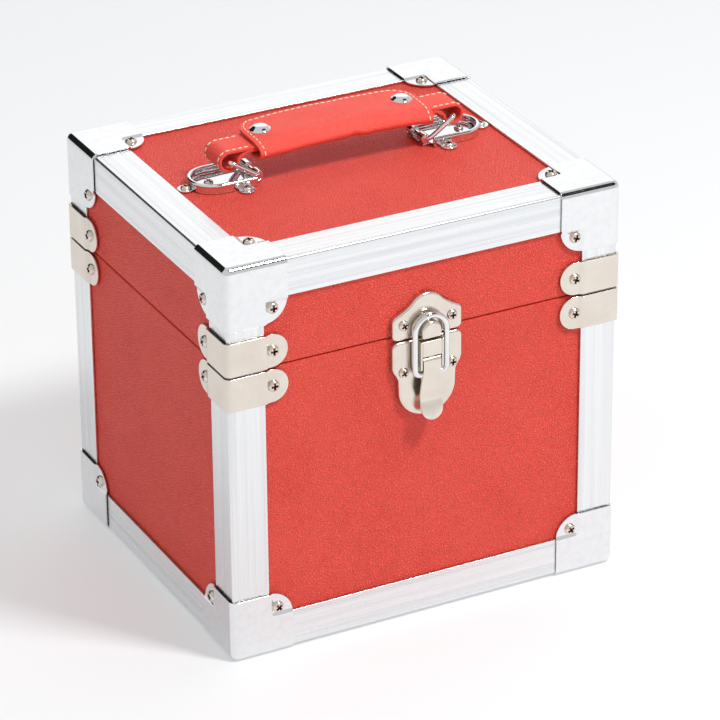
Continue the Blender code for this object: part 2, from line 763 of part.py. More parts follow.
def add_hinge(side, x):
    third = HINGE_HALF_WIDTH / 3
    outer = [(-HINGE_HALF_WIDTH, -third - GAP), (third + GAP, HINGE_HALF_WIDTH)]
    base_leaf, axis = hinge_leaf(f"hinge_{side}_base_leaf", CASE, x, -1, outer)
    pin = rod_mesh("pin", HINGE_PIN, HINGE_HALF_WIDTH)
    boolean(base_leaf, "UNION", new_object(f"hinge_{side}_pin", pin, CASE, axis))
    lid_leaf, axis = hinge_leaf(f"hinge_{side}_lid_leaf", LID, x, 1, [(-third, third)])
    bore = rod_mesh("bore", HINGE_BORE, HINGE_HALF_WIDTH)
    boolean(lid_leaf, "DIFFERENCE", new_object(f"hinge_{side}_bore", bore, LID, axis))


# ---------------------------------------------------------------- the whole case

clear_scene()
PARTS = new_collection("record_case")
HELPERS = new_collection("cutters")
HELPERS.hide_render = True

COVERING = new_material("red_leatherette", (0.86, 0.10, 0.075), 0.55)
LEATHER = new_material("red_leather", (0.84, 0.10, 0.08), 0.50)
ALUMINIUM = new_material("brushed_aluminium", (0.80, 0.81, 0.83), 0.32, 1.0)
CHROME = new_material("chrome", (0.86, 0.87, 0.88), 0.08, 1.0)
NICKEL = new_material("nickel", (0.80, 0.76, 0.70), 0.22, 1.0)

CASE = new_empty("case", (0, CASE_Y, CORNER_OUT))
# The lid, the lever, the bail, the rings and the straps each hang on an empty at their joint.
LID = new_empty("lid", (0, 0, 0), CASE)
LEVER = new_empty("lever_pivot", (0, FRONT - LEVER_DEPTH, LEVER_Z), CASE)
BAIL = new_empty("bail_pivot", (0, FRONT - BAIL_DEPTH, BAIL_Z), CASE)

add_box("base", CASE, BOARD_IN + BOARD + GAP, BASE_TOP, "bottom", BOARD_IN, BOARD_IN + BOARD)
add_box("lid", LID, LID_BOTTOM, TOP - BOARD - GAP, "top", TOP - BOARD, TOP)
add_level_trims("base_bottom", CASE, 0, -1)
add_level_trims("lid_top", LID, HEIGHT, 1)
add_upright_trims("base", CASE, TRIM_LEG + GAP, BASE_TOP)
add_upright_trims("lid", LID, LID_BOTTOM, HEIGHT - TRIM_LEG - GAP)
add_corners("base", CASE, -CORNER_OUT, False)
add_corners("lid", LID, HEIGHT + CORNER_OUT, True)
add_braces("base", CASE, SEAM_Z - BRACE_OFFSET)
add_braces("lid", LID, SEAM_Z + BRACE_OFFSET)

add_strike_plate(LID)
add_latch_base(CASE)
add_lever(LEVER)
add_bail(BAIL)

for SIDE, SIGN in SIDES.items():
    add_cup(f"handle_{SIDE}_cup", SIGN, LID)
    RING = new_empty(f"{SIDE}_ring_pivot", (SIGN * RING_PIVOT_X, HANDLE_Y, RING_PIVOT_Z), LID)
    add_ring(f"handle_{SIDE}_ring", SIGN, RING)
    BAR = new_empty(f"{SIDE}_ring_bar", (SIGN * RING_BAR_X, HANDLE_Y, EYE_Z), LID)
    add_strap(f"handle_{SIDE}_strap", SIGN, BAR)
    add_hinge(SIDE, SIGN * HINGE_X)
add_grip(LID)
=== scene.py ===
"""The looks of the seven-inch record case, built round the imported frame, with its studio."""

import json
from math import cos, exp, hypot, pi, radians, sin

import bmesh
import bpy
import numpy as np
from mathutils import Matrix, Vector


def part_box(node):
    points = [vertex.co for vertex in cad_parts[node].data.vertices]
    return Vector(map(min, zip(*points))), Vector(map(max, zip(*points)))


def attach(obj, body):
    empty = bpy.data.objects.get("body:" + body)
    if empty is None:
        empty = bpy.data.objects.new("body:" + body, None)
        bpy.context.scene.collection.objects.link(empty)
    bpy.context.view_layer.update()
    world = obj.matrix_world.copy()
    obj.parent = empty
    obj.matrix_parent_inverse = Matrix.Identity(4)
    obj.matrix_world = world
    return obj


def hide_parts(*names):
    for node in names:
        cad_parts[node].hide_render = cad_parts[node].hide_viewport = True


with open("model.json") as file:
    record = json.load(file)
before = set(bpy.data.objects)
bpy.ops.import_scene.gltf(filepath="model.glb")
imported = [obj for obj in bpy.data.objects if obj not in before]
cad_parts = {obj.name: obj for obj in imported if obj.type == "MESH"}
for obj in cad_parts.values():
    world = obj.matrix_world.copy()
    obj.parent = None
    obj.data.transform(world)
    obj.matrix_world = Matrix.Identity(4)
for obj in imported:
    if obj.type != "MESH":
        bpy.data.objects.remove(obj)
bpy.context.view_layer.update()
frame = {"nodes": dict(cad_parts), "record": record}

MM = 0.001
X_AXIS = Vector((1, 0, 0))
Y_AXIS = Vector((0, 1, 0))
Z_AXIS = Vector((0, 0, 1))

# The planes of the case's outside, over the aluminium trims
LEFT_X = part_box("base_bottom_left_trim")[0].x
RIGHT_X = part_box("base_bottom_right_trim")[1].x
FRONT_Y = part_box("base_bottom_front_trim")[0].y
BACK_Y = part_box("base_bottom_back_trim")[1].y
BOTTOM_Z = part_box("base_bottom_front_trim")[0].z
TOP_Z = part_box("lid_top_front_trim")[1].z
MID_Y = (FRONT_Y + BACK_Y) / 2
BOARD_FRONT_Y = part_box("base_front_board")[0].y
BOARD_BACK_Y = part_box("base_back_board")[1].y
LID_TOP_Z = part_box("lid_top_board")[1].z
SIDES = {"left": -1, "right": 1}
ENDS = {"front": -1, "back": 1}
GAP = 0.3 * MM

BODY_OF = {
    node: body for body, nodes in frame["record"]["behaviour"]["bodies"].items() for node in nodes
}


# ---- material nodes


class Nodes:
    """A short way to write a material's nodes."""

    def __init__(self, name):
        self.material = bpy.data.materials.new(name)
        self.material.use_nodes = True
        self.tree = self.material.node_tree
        self.shader = self.tree.nodes["Principled BSDF"]
        self.place = self.add("ShaderNodeTexCoord").outputs["Object"]

    def add(self, kind, **settings):
        node = self.tree.nodes.new(kind)
        for key, value in settings.items():
            setattr(node, key, value)
        return node

    def link(self, output, target):
        self.tree.links.new(output, target)

    def set(self, **values):
        for key, value in values.items():
            self.shader.inputs[key.replace("_", " ")].default_value = value

    def scaled(self, scale):
        node = self.add("ShaderNodeMapping")
        self.link(self.place, node.inputs["Vector"])
        node.inputs["Scale"].default_value = scale
        return node.outputs["Vector"]

    def noise(self, where, scale, detail=3.0, roughness=0.55, distortion=0.0):
        node = self.add("ShaderNodeTexNoise")
        self.link(where, node.inputs["Vector"])
        node.inputs["Scale"].default_value = scale
        node.inputs["Detail"].default_value = detail
        node.inputs["Roughness"].default_value = roughness
        node.inputs["Distortion"].default_value = distortion
        return node.outputs["Fac"]

    def cells(self, where, scale):
        node = self.add("ShaderNodeTexVoronoi", feature="DISTANCE_TO_EDGE")
        self.link(where, node.inputs["Vector"])
        node.inputs["Scale"].default_value = scale
        return node.outputs["Distance"]

    def warped(self, scale, amount):
        """The object's own coordinates, pushed about by noise."""
        node = self.add("ShaderNodeTexNoise")
        self.link(self.place, node.inputs["Vector"])
        node.inputs["Scale"].default_value = scale
        push = self.add("ShaderNodeVectorMath", operation="SCALE")
        self.link(node.outputs["Color"], push.inputs[0])
        push.inputs["Scale"].default_value = amount
        total = self.add("ShaderNodeVectorMath", operation="ADD")
        self.link(self.place, total.inputs[0])
        self.link(push.outputs["Vector"], total.inputs[1])
        return total.outputs["Vector"]

    def ranged(self, value, low, high, from_low=0.0, from_high=1.0):
        node = self.add("ShaderNodeMapRange")
        self.link(value, node.inputs["Value"])
        for key, number in zip(
            ("From Min", "From Max", "To Min", "To Max"), (from_low, from_high, low, high)
        ):
            node.inputs[key].default_value = number
        return node.outputs["Result"]

    def ramp(self, value, *stops):
        node = self.add("ShaderNodeValToRGB")
        self.link(value, node.inputs["Fac"])
        ramp = node.color_ramp
        while len(ramp.elements) < len(stops):
            ramp.elements.new(0.5)
        for element, (position, colour) in zip(ramp.elements, stops):
            element.position = position
            element.color = (*colour, 1.0)
        return node.outputs["Color"]

    def sum(self, first, second, share=1.0):
        node = self.add("ShaderNodeMath", operation="MULTIPLY_ADD")
        self.link(second, node.inputs[0])
        node.inputs[1].default_value = share
        self.link(first, node.inputs[2])
        return node.outputs["Value"]

    def colour(self, value, *stops):
        self.link(self.ramp(value, *stops), self.shader.inputs["Base Color"])

    def roughness(self, value, low, high, from_low=0.0, from_high=1.0):
        ranged = self.ranged(value, low, high, from_low, from_high)
        self.link(ranged, self.shader.inputs["Roughness"])

    def bump(self, height, strength, distance):
        node = self.add("ShaderNodeBump")
        self.link(height, node.inputs["Height"])
        node.inputs["Strength"].default_value = strength
        node.inputs["Distance"].default_value = distance
        self.link(node.outputs["Normal"], self.shader.inputs["Normal"])


RED = (0.870, 0.084, 0.058)
RED_DARK = (0.690, 0.044, 0.032)
RED_LIGHT = (0.880, 0.100, 0.070)


def leatherette():
    """Red covering cloth with a fine pebbled grain."""
    m = Nodes("red_leatherette")
    m.set(Specular_IOR_Level=0.30)
    where = m.warped(420.0, 0.0011)
    pebbles = m.ranged(m.cells(where, 760.0), 0.0, 1.0, 0.0, 0.32)
    fine = m.noise(m.place, 2600.0, 2.0)
    mottle = m.noise(m.place, 24.0, 4.0)
    tone = m.sum(m.ranged(pebbles, 0.15, 0.60), mottle, 0.5)
    m.colour(tone, (0.20, RED_DARK), (0.62, RED), (1.0, RED_LIGHT))
    m.roughness(pebbles, 0.58, 0.42)
    m.bump(m.sum(pebbles, fine, 0.25), 1.0, 0.00048)
    return m.material


def handle_leather():
    """The handle's softer red leather, with a finer grain and slow creases."""
    m = Nodes("red_handle_leather")
    m.set(Specular_IOR_Level=0.32)
    where = m.warped(520.0, 0.0010)
    pebbles = m.ranged(m.cells(where, 1050.0), 0.0, 1.0, 0.0, 0.35)
    creases = m.noise(m.scaled((60.0, 160.0, 160.0)), 1.0, 5.0, 0.6, 0.8)
    tone = m.sum(m.ranged(pebbles, 0.20, 0.55), creases, 0.5)
    m.colour(tone, (0.25, RED_DARK), (0.60, RED), (1.0, RED_LIGHT))
    m.roughness(creases, 0.40, 0.56)
    m.bump(m.sum(pebbles, creases, 1.2), 0.60, 0.00028)
    return m.material


def brushed_aluminium(axis):
    """Aluminium with fine drawn lines along one axis."""
    m = Nodes("brushed_aluminium_" + axis)
    long = "xyz".index(axis)
    fine = [2600.0] * 3
    fine[long] = 9.0
    broad = [300.0] * 3
    broad[long] = 3.0
    lines = m.noise(m.scaled(fine), 1.0, 4.0, 0.65)
    bands = m.noise(m.scaled(broad), 1.0, 3.0, 0.55)
    both = m.sum(m.ranged(lines, 0.0, 0.5), bands, 0.5)
    m.set(Metallic=1.0, Anisotropic=0.35)
    dark, middle, light = (0.64, 0.65, 0.67), (0.79, 0.80, 0.81), (0.88, 0.88, 0.89)
    m.colour(both, (0.30, dark), (0.50, middle), (0.70, light))
    m.roughness(both, 0.32, 0.20, 0.3, 0.7)
    m.bump(lines, 0.10, 0.00004)
    return m.material


def chrome():
    """Bright plating, a little uneven where the sheet was pressed, with light handling haze."""
    m = Nodes("chrome_plate")
    m.set(Metallic=1.0)
    waves = m.noise(m.place, 55.0, 2.0, 0.5, 0.4)
    haze = m.noise(m.place, 260.0, 5.0, 0.6)
    m.colour(haze, (0.25, (0.75, 0.755, 0.77)), (0.60, (0.81, 0.815, 0.825)))
    m.roughness(haze, 0.05, 0.09, 0.35, 0.75)
    m.bump(waves, 0.08, 0.0008)
    return m.material


def nickel():
    """Warm satin nickel with faint rolling lines, and painted shade inside a screw's recess."""
    m = Nodes("warm_nickel")
    m.set(Metallic=1.0)
    lines = m.noise(m.scaled((25.0, 25.0, 900.0)), 1.0, 3.0, 0.6)
    blotch = m.noise(m.place, 70.0, 4.0)
    plate = m.ramp(
        m.sum(m.ranged(lines, 0.0, 0.06), blotch, 0.94),
        (0.30, (0.69, 0.620, 0.545)),
        (0.70, (0.77, 0.705, 0.630)),
    )
    # Faces marked as a screw's recess get a dark red-brown in place of the plate colour: painted
    # shade, not the nickel's own colour.
    painted_recess_shade = m.add("ShaderNodeAttribute", attribute_name="recess")
    plate_and_painted_shade = m.add("ShaderNodeMix", data_type="RGBA")
    m.link(painted_recess_shade.outputs["Fac"], plate_and_painted_shade.inputs["Factor"])
    m.link(plate, plate_and_painted_shade.inputs["A"])
    plate_and_painted_shade.inputs["B"].default_value = (0.20, 0.085, 0.070, 1.0)
    m.link(plate_and_painted_shade.outputs["Result"], m.shader.inputs["Base Color"])
    m.roughness(m.sum(lines, blotch, 0.5), 0.17, 0.27, 0.4, 1.0)
    m.bump(m.sum(blotch, lines, 0.05), 0.05, 0.0004)
    return m.material


def lining_cloth():
    """Short black pile."""
    m = Nodes("black_lining")
    m.set(Roughness=0.95, Specular_IOR_Level=0.15, Sheen_Weight=0.35, Sheen_Roughness=0.4)
    pile = m.noise(m.place, 3200.0, 3.0, 0.7)
    nap = m.noise(m.place, 35.0, 3.0)
    tone = m.sum(m.ranged(pile, 0.0, 0.6), nap, 0.4)
    m.colour(tone, (0.30, (0.010, 0.010, 0.012)), (0.75, (0.045, 0.045, 0.050)))
    m.bump(pile, 0.5, 0.0003)
    return m.material


def thread():
    """Twisted cream sewing thread."""
    m = Nodes("cream_thread")
    m.set(Roughness=0.7, Sheen_Weight=0.2)
    fuzz = m.noise(m.place, 5200.0, 3.0, 0.7)
    m.colour(fuzz, (0.30, (0.66, 0.56, 0.42)), (0.70, (0.88, 0.80, 0.66)))
    m.bump(fuzz, 0.4, 0.0001)
    return m.material


# Each finish is a material and the name of the record's slot that it belongs to
LEATHERETTE = leatherette(), "leatherette"
LEATHER = handle_leather(), "handle_leather"
ALUMINIUM = {axis: (brushed_aluminium(axis), "brushed_aluminium") for axis in "xyz"}
CHROME = chrome(), "chrome"
NICKEL = nickel(), "nickel"
LINING = lining_cloth(), "lining"
THREAD = thread(), "thread"


# ---- mesh helpers


def new_piece(name, mesh, body, finish):
    """A shown piece that rides on a body and takes the material of its finish."""
    material, slot = finish
    piece = bpy.data.objects.new(name, mesh)
    bpy.context.scene.collection.objects.link(piece)
    mesh.materials.clear()
    mesh.materials.append(material)
    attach(piece, body)
    return piece


def smooth_mesh(bm, name):
    mesh = bpy.data.meshes.new(name)
    bm.to_mesh(mesh)
    bm.free()
    mesh.shade_smooth()
    return mesh


def to_mesh(bm, name, sharp_above=35.0):
    bmesh.ops.recalc_face_normals(bm, faces=bm.faces)
    mesh = smooth_mesh(bm, name)
    mesh.set_sharp_from_angle(angle=radians(sharp_above))
    return mesh


def skin(bm, rows, closed=False, turned=False):
    """Faces between rows of vertices, going round each face the other way if turned."""
    for a, b in zip(rows, rows[1:]):
        for k in range(len(a) if closed else len(a) - 1):
            n = (k + 1) % len(a)
            bm.faces.new((a[k], b[k], b[n], a[n]) if turned else (a[k], a[n], b[n], b[k]))


def soften(piece, width, steps=2, angle=30.0):
    """Rounds a piece's sharp edges, for a real edge that catches the light."""
    modifier = piece.modifiers.new("soft_edges", "BEVEL")
    modifier.width = width
    modifier.segments = steps
    modifier.limit_method = "ANGLE"
    modifier.angle_limit = radians(angle)
    modifier.harden_normals = True
    return piece


def thicken(piece, thickness):
    modifier = piece.modifiers.new("sheet", "SOLIDIFY")
    modifier.thickness = thickness
    modifier.offset = -1.0
    modifier.use_even_offset = True
    return piece


def from_node(node, name, finish, edge):
    """A clean copy of a CAD node's shape, with its flat faces joined up and its edges rounded."""
    bm = bmesh.new()
    bm.from_mesh(frame["nodes"][node].data)
    bmesh.ops.remove_doubles(bm, verts=bm.verts, dist=1e-6)
    bmesh.ops.dissolve_limit(bm, angle_limit=radians(1.0), verts=bm.verts, edges=bm.edges)
    piece = new_piece(name, to_mesh(bm, name), BODY_OF[node], finish)
    soften(piece, edge)
    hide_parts(node)
    return piece


def wire(points, radius, closed, name, sides):
    """A round wire along a path of points."""
    points = [Vector(p) for p in points]
    count = len(points)
    bm = bmesh.new()
    rings = []
    normal = None
    for i, point in enumerate(points):
        before = points[i - 1] if (closed or i) else point
        after = points[(i + 1) % count] if (closed or i < count - 1) else point
        tangent = (after - before).normalized()
        if normal is None:
            guess = Z_AXIS if abs(tangent.z) < 0.8 else X_AXIS
            normal = (guess - tangent * guess.dot(tangent)).normalized()
        normal = (normal - tangent * normal.dot(tangent)).normalized()
        other = tangent.cross(normal)
        ring = []
        for k in range(sides):
            turn = 2 * pi * k / sides
            ring.append(bm.verts.new(point + (normal * cos(turn) + other * sin(turn)) * radius))
        rings.append(ring)
    spans = count if closed else count - 1
    for i in range(spans):
        here, there = rings[i], rings[(i + 1) % count]
        shift = 0
        if closed and i == count - 1:
            gaps = [(here[0].co - there[s].co).length for s in range(sides)]
            shift = gaps.index(min(gaps))
        for k in range(sides):
            a, b = there[(k + 1 + shift) % sides], there[(k + shift) % sides]
            bm.faces.new((here[k], here[(k + 1) % sides], a, b))
    if not closed:
        bm.faces.new(rings[0])
        bm.faces.new(rings[-1])
    return to_mesh(bm, name, 50.0)


def arc(cx, cy, radius, start, end, steps):
    angles = [radians(start + (end - start) * i / steps) for i in range(steps + 1)]
    return [(cx + radius * cos(a), cy + radius * sin(a)) for a in angles]


def scattered(name, mesh, places, body, finish):
    """One piece made of copies of a mesh, such as a set of screws or a row of stitches."""
    bm = bmesh.new()
    # Carries over each copy's recess marks, which say where the nickel paints shade.
    painted_recess_shade = bm.faces.layers.float.new("recess")
    recess_shade_marks = mesh.attributes.get("recess")
    for place in places:
        before, faces_before = len(bm.verts), len(bm.faces)
        bm.from_mesh(mesh)
        bm.verts.ensure_lookup_table()
        bm.faces.ensure_lookup_table()
        for vert in bm.verts[before:]:
            vert.co = place @ vert.co
        for number, face in enumerate(bm.faces[faces_before:]):
            face[painted_recess_shade] = recess_shade_marks.data[number].value if recess_shade_marks else 0.0
    return new_piece(name, to_mesh(bm, name), body, finish)


def facing(point, normal, turn=0.0):
    """A place at a point whose Z runs along the normal, turned about it."""
    quaternion = Vector(normal).to_track_quat("Z", "Y")
    aim = quaternion.to_matrix().to_4x4()
    return Matrix.Translation(point) @ aim @ Matrix.Rotation(turn, 4, "Z")


def square_to_disc(u, v):
    """Pulls a square's corner in to a round one. u and v are at least 0 and share one scale."""
    length = hypot(u, v)
    if length < 1e-12:
        return u, v
    pull = max(abs(u), abs(v)) / length
    return u * pull, v * pull


def rolled(point, radius):
    """Rounds the edges and the vertex of a corner whose planes are x = 0, y = 0 and z = 0."""
    core = Vector(max(c, radius) for c in point)
    away = Vector(point) - core
    return core + away.normalized() * radius


def ease(value, start, width):
    t = min(max((value - start) / width, 0.0), 1.0)
    return t * t * (3 - 2 * t)


# ---- screws


def screw_mesh(name, radius, height):
    """A pan-head screw with a cross recess, its head standing on Z = 0."""
    bm = bmesh.new()
    bmesh.ops.create_uvsphere(bm, u_segments=28, v_segments=14, radius=radius)
    bmesh.ops.bisect_plane(
        bm,
        geom=bm.verts[:] + bm.edges[:] + bm.faces[:],
        plane_co=(0, 0, 0),
        plane_no=(0, 0, 1),
        clear_inner=True,
    )
    bmesh.ops.holes_fill(bm, edges=[e for e in bm.edges if len(e.link_faces) == 1])
    for vert in bm.verts:
        share = vert.co.z / radius
        vert.co.z = height * min(share * 1.35, 1.0 - 0.12 * (1 - share)) if share > 0 else 0.0
    head = bpy.data.objects.new(name, to_mesh(bm, name))
    bpy.context.scene.collection.objects.link(head)
    cutters = []
    for turn in (0, pi / 2):
        bm = bmesh.new()
        bmesh.ops.create_cube(bm, size=1.0)
        for vert in bm.verts:
            x, y, z = vert.co
            length = radius * (0.80 if z < 0 else 1.30)
            vert.co = Vector((x * length, y * radius * 0.38, z * height * 1.5 + height))
        cutter = bpy.data.objects.new("recess", to_mesh(bm, "recess"))
        cutter.rotation_euler.z = turn
        bpy.context.scene.collection.objects.link(cutter)
        modifier = head.modifiers.new("recess", "BOOLEAN")
        modifier.operation = "DIFFERENCE"
        modifier.object = cutter
        cutters.append(cutter)
    bpy.context.view_layer.update()
    graph = bpy.context.evaluated_depsgraph_get()
    mesh = bpy.data.meshes.new_from_object(head.evaluated_get(graph))
    # Marks the faces inside the cross recess, where the nickel paints shade.
    painted_recess_shade = mesh.attributes.new("recess", "FLOAT", "FACE")
    for face, value in zip(mesh.polygons, painted_recess_shade.data):
        x, y, z = face.center
        near, far = sorted((abs(x), abs(y)))
        value.value = float(z > 0 and near < radius * 0.20 and far < radius * 0.62)
    for extra in [head, *cutters]:
        bpy.data.objects.remove(extra)
    mesh.shade_smooth()
    mesh.set_sharp_from_angle(angle=radians(40))
    return mesh


SCREW = screw_mesh("pan_head", 3.1 * MM, 1.7 * MM)
SMALL_SCREW = screw_mesh("small_pan_head", 2.5 * MM, 1.4 * MM)
LATCH_SCREW = screw_mesh("latch_pan_head", 2.8 * MM, 1.5 * MM)


# ---- boards, trims, lining


def dress_boards():
    for node in frame["nodes"]:
        if node.endswith("_board"):
            from_node(node, node.replace("_board", "_panel"), LEATHERETTE, 0.9 * MM)


def dress_trims():
    for node in frame["nodes"]:
        if not node.endswith("_trim"):
            continue
        low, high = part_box(node)
        size = high - low
        axis = "xyz"[max(range(3), key=lambda i: size[i])]
        from_node(node, node.replace("_trim", "_angle"), ALUMINIUM[axis], 0.28 * MM)


def add_lining(body, open_up):
    """A thin cloth-covered tray glued inside the boards, open at the split."""
    inside_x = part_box(f"{body}_right_board")[0].x - GAP
    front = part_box(f"{body}_front_board")[1].y + GAP
    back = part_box(f"{body}_back_board")[0].y - GAP
    if open_up:
        closed_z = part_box("base_bottom_board")[1].z + GAP
        open_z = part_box("base_front_board")[1].z - 0.6 * MM
    else:
        closed_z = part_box("lid_top_board")[0].z - GAP
        open_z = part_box("lid_front_board")[0].z + 0.6 * MM
    bm = bmesh.new()
    bmesh.ops.create_cube(bm, size=1.0)
    for vert in bm.verts:
        top = (vert.co.z > 0) == open_up
        vert.co = Vector(
            (
                vert.co.x * 2 * inside_x,
                (front + back) / 2 + vert.co.y * (back - front),
                open_z if top else closed_z,
            )
        )
    open_face = [f for f in bm.faces if abs(f.calc_center_median().z - open_z) < 1e-6]
    bmesh.ops.delete(bm, geom=open_face, context="FACES")
    folds = [e for e in bm.edges if len(e.link_faces) == 2]
    bmesh.ops.bevel(
        bm,
        geom=folds,
        offset=2.5 * MM,
        segments=3,
        profile=0.5,
        affect="EDGES",
        offset_type="OFFSET",
    )
    piece = new_piece(body + "_lining", to_mesh(bm, body + "_lining"), body, LINING)
    thicken(piece, 1.1 * MM)
    soften(piece, 0.3 * MM)


# ---- corners and braces

CORNER_LEG = 34.0 * MM
CORNER_OUT = LEFT_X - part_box("lid_front_left_corner")[0].x
CORNER_ROUND = 3.8 * MM
CORNER_TAB = 13.0 * MM
CORNER_SHEET = 0.9 * MM
TRIM_LEG = 20.0 * MM
STEP_DOWN = 1.1 * MM
STEP_WIDTH = 1.5 * MM
SCREW_IN = 25.8 * MM
BRACE_LEG = 34.0 * MM
BRACE_OUT = LEFT_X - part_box("lid_front_left_brace")[0].x
BRACE_HALF = (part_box("lid_front_left_brace")[1].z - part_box("lid_front_left_brace")[0].z) / 2
BRACE_ROUND = 3.0 * MM


def edge_point(x_sign, y_sign, out, z):
    """A point of one upright edge of the case, moved out from both of its faces."""
    x = (RIGHT_X if x_sign > 0 else LEFT_X) + x_sign * out
    y = (BACK_Y if y_sign > 0 else FRONT_Y) + y_sign * out
    return Vector((x, y, z))


def corner_ticks():
    """Places along one edge of a pressed corner, close together where it bends."""
    near = [CORNER_ROUND * i / 5 for i in range(5)]
    return near + np.linspace(CORNER_ROUND, CORNER_LEG, 30).tolist()


def corner_point(a, b):
    """A point of one plate, with its step down past both trims."""
    start = CORNER_LEG - CORNER_TAB
    if a > start and b > start:
        u, v = square_to_disc(a - start, b - start)
        a, b = start + u, start + v
    point = rolled((a, b, 0.0), CORNER_ROUND)
    drop = ease(min(a, b), TRIM_LEG + CORNER_OUT + 0.2 * MM, STEP_WIDTH) * STEP_DOWN
    return point + Z_AXIS * drop


def corner_mesh():
    ticks = corner_ticks()
    bm = bmesh.new()
    for turn in range(3):
        grid = []
        for a in ticks:
            row = []
            for b in ticks:
                p = corner_point(a, b)
                row.append(bm.verts.new((p[(3 - turn) % 3], p[(4 - turn) % 3], p[(5 - turn) % 3])))
            grid.append(row)
        skin(bm, grid, turned=True)
    bmesh.ops.remove_doubles(bm, verts=bm.verts, dist=2e-6)
    bmesh.ops.recalc_face_normals(bm, faces=bm.faces)
    if sum(f.normal.z * f.calc_area() for f in bm.faces) > 0:
        bmesh.ops.reverse_faces(bm, faces=bm.faces)
    return bm


def corner_place(x_sign, y_sign, up):
    """The frame of one corner: its origin at the outer vertex and its axes along the edges."""
    edges = [X_AXIS * -x_sign, Y_AXIS * -y_sign, Z_AXIS * -up]
    if edges[0].cross(edges[1]).dot(edges[2]) < 0:
        edges[0], edges[1] = edges[1], edges[0]
    z = TOP_Z + CORNER_OUT if up > 0 else BOTTOM_Z - CORNER_OUT
    return edge_point(x_sign, y_sign, CORNER_OUT, z), edges


def add_corners(body, up):
    template = smooth_mesh(corner_mesh(), "corner")
    spots = []
    for end, y_sign in ENDS.items():
        for side, x_sign in SIDES.items():
            origin, edges = corner_place(x_sign, y_sign, up)
            node = f"{body}_{end}_{side}_corner"
            mesh = template.copy()
            turn = Matrix(edges).transposed().to_4x4()
            mesh.transform(Matrix.Translation(origin) @ turn)
            piece = new_piece(node.replace("_corner", "_cap"), mesh, body, CHROME)
            thicken(piece, CORNER_SHEET)
            soften(piece, 0.2 * MM, 2, 50.0)
            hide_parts(node)
            for k in range(3):
                i, j = [n for n in range(3) if n != k]
                head = origin + (edges[i] + edges[j]) * SCREW_IN + edges[k] * STEP_DOWN
                spots.append(facing(head, -edges[k], 0.7 * len(spots)))
    scattered(body + "_corner_screws", SCREW, spots, body, NICKEL)


def brace_point(s, t):
    """A point of a brace: s along the strip from its bend and t across it. Its frame has the
    bend at the origin and the two faces along +X and +Y."""
    reach = BRACE_LEG - BRACE_HALF
    run = abs(s)
    if run > reach:
        extra, t = square_to_disc(run - reach, t)
        run = reach + extra
    drop = ease(run, TRIM_LEG + BRACE_OUT + 0.3 * MM, STEP_WIDTH) * STEP_DOWN
    if s < 0:
        flat = Vector((run, 0.0))
        lean = Vector((0, drop))
    else:
        flat = Vector((0.0, run))
        lean = Vector((drop, 0))
    core = Vector((max(flat.x, BRACE_ROUND), max(flat.y, BRACE_ROUND)))
    flat = core + (flat - core).normalized() * BRACE_ROUND + lean
    return Vector((flat.x, flat.y, t))


def add_braces(body, z):
    near = [BRACE_ROUND * i / 5 for i in range(1, 5)]
    far = np.linspace(BRACE_ROUND, BRACE_LEG, 34).tolist()
    runs = [-v for v in reversed(near + far)] + [0.0] + near + far
    across = np.linspace(-BRACE_HALF, BRACE_HALF, 15).tolist()
    spots = []
    for end, y_sign in ENDS.items():
        for side, x_sign in SIDES.items():
            origin = edge_point(x_sign, y_sign, BRACE_OUT, z)
            bm = bmesh.new()
            grid = []
            for s in runs:
                row = []
                for t in across:
                    p = brace_point(s, t)
                    row.append(bm.verts.new(origin + Vector((-x_sign * p.x, -y_sign * p.y, p.z))))
                grid.append(row)
            skin(bm, grid, turned=True)
            bmesh.ops.recalc_face_normals(bm, faces=bm.faces)
            outward = Vector((x_sign, y_sign, 0))
            if sum(f.normal.dot(outward) for f in bm.faces) < 0:
                bmesh.ops.reverse_faces(bm, faces=bm.faces)
            node = f"{body}_{end}_{side}_brace"
            mesh = smooth_mesh(bm, node)
            piece = new_piece(node.replace("_brace", "_strap"), mesh, body, NICKEL)
            thicken(piece, 1.1 * MM)
            soften(piece, 0.25 * MM, 2, 50.0)
            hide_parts(node)
            on_front = origin + Vector((-x_sign * SCREW_IN, -y_sign * STEP_DOWN, 0))
            on_side = origin + Vector((-x_sign * STEP_DOWN, -y_sign * SCREW_IN, 0))
            spots.append(facing(on_front, (0, y_sign, 0), 0.6 * len(spots)))
            spots.append(facing(on_side, (x_sign, 0, 0), 0.6 * len(spots)))
    scattered(body + "_brace_screws", SCREW, spots, body, NICKEL)


# ---- shaped pieces


def slab(name, outline, low, high, place, body, finish, edge):
    """A flat outline in X and Y filled along Z from low to high, put in place, edges rounded."""
    bm = bmesh.new()
    under = [bm.verts.new(place @ Vector((x, y, low))) for x, y in outline]
    over = [bm.verts.new(place @ Vector((x, y, high))) for x, y in outline]
    bm.faces.new(under)
    bm.faces.new(over)
    skin(bm, [under, over], closed=True)
    piece = new_piece(name, to_mesh(bm, name, 30.0), body, finish)
    soften(piece, edge, 3)
    even_shading(piece)
    return piece


def even_shading(piece):
    modifier = piece.modifiers.new("even", "WEIGHTED_NORMAL")
    modifier.keep_sharp = True
    modifier.weight = 80


def inset(outline, distance, closed=True):
    """The outline moved inwards, for an outline that runs anticlockwise."""
    count = len(outline)
    moved = []
    for k, (x, y) in enumerate(outline):
        before = outline[k - 1] if (closed or k) else outline[k]
        after = outline[(k + 1) % count] if (closed or k < count - 1) else outline[k]
        dx, dy = after[0] - before[0], after[1] - before[1]
        length = hypot(dx, dy) or 1.0
        moved.append((x - dy / length * distance, y + dx / length * distance))
    return moved


def anticlockwise(outline):
    area = sum(a[0] * b[1] - b[0] * a[1] for a, b in zip(outline, outline[1:] + outline[:1]))
    return outline if area > 0 else outline[::-1]


def mirrored(half):
    """A closed outline from its right half, which runs from top to bottom."""
    return half + [(-x, y) for x, y in reversed(half) if abs(x) > 1e-9]


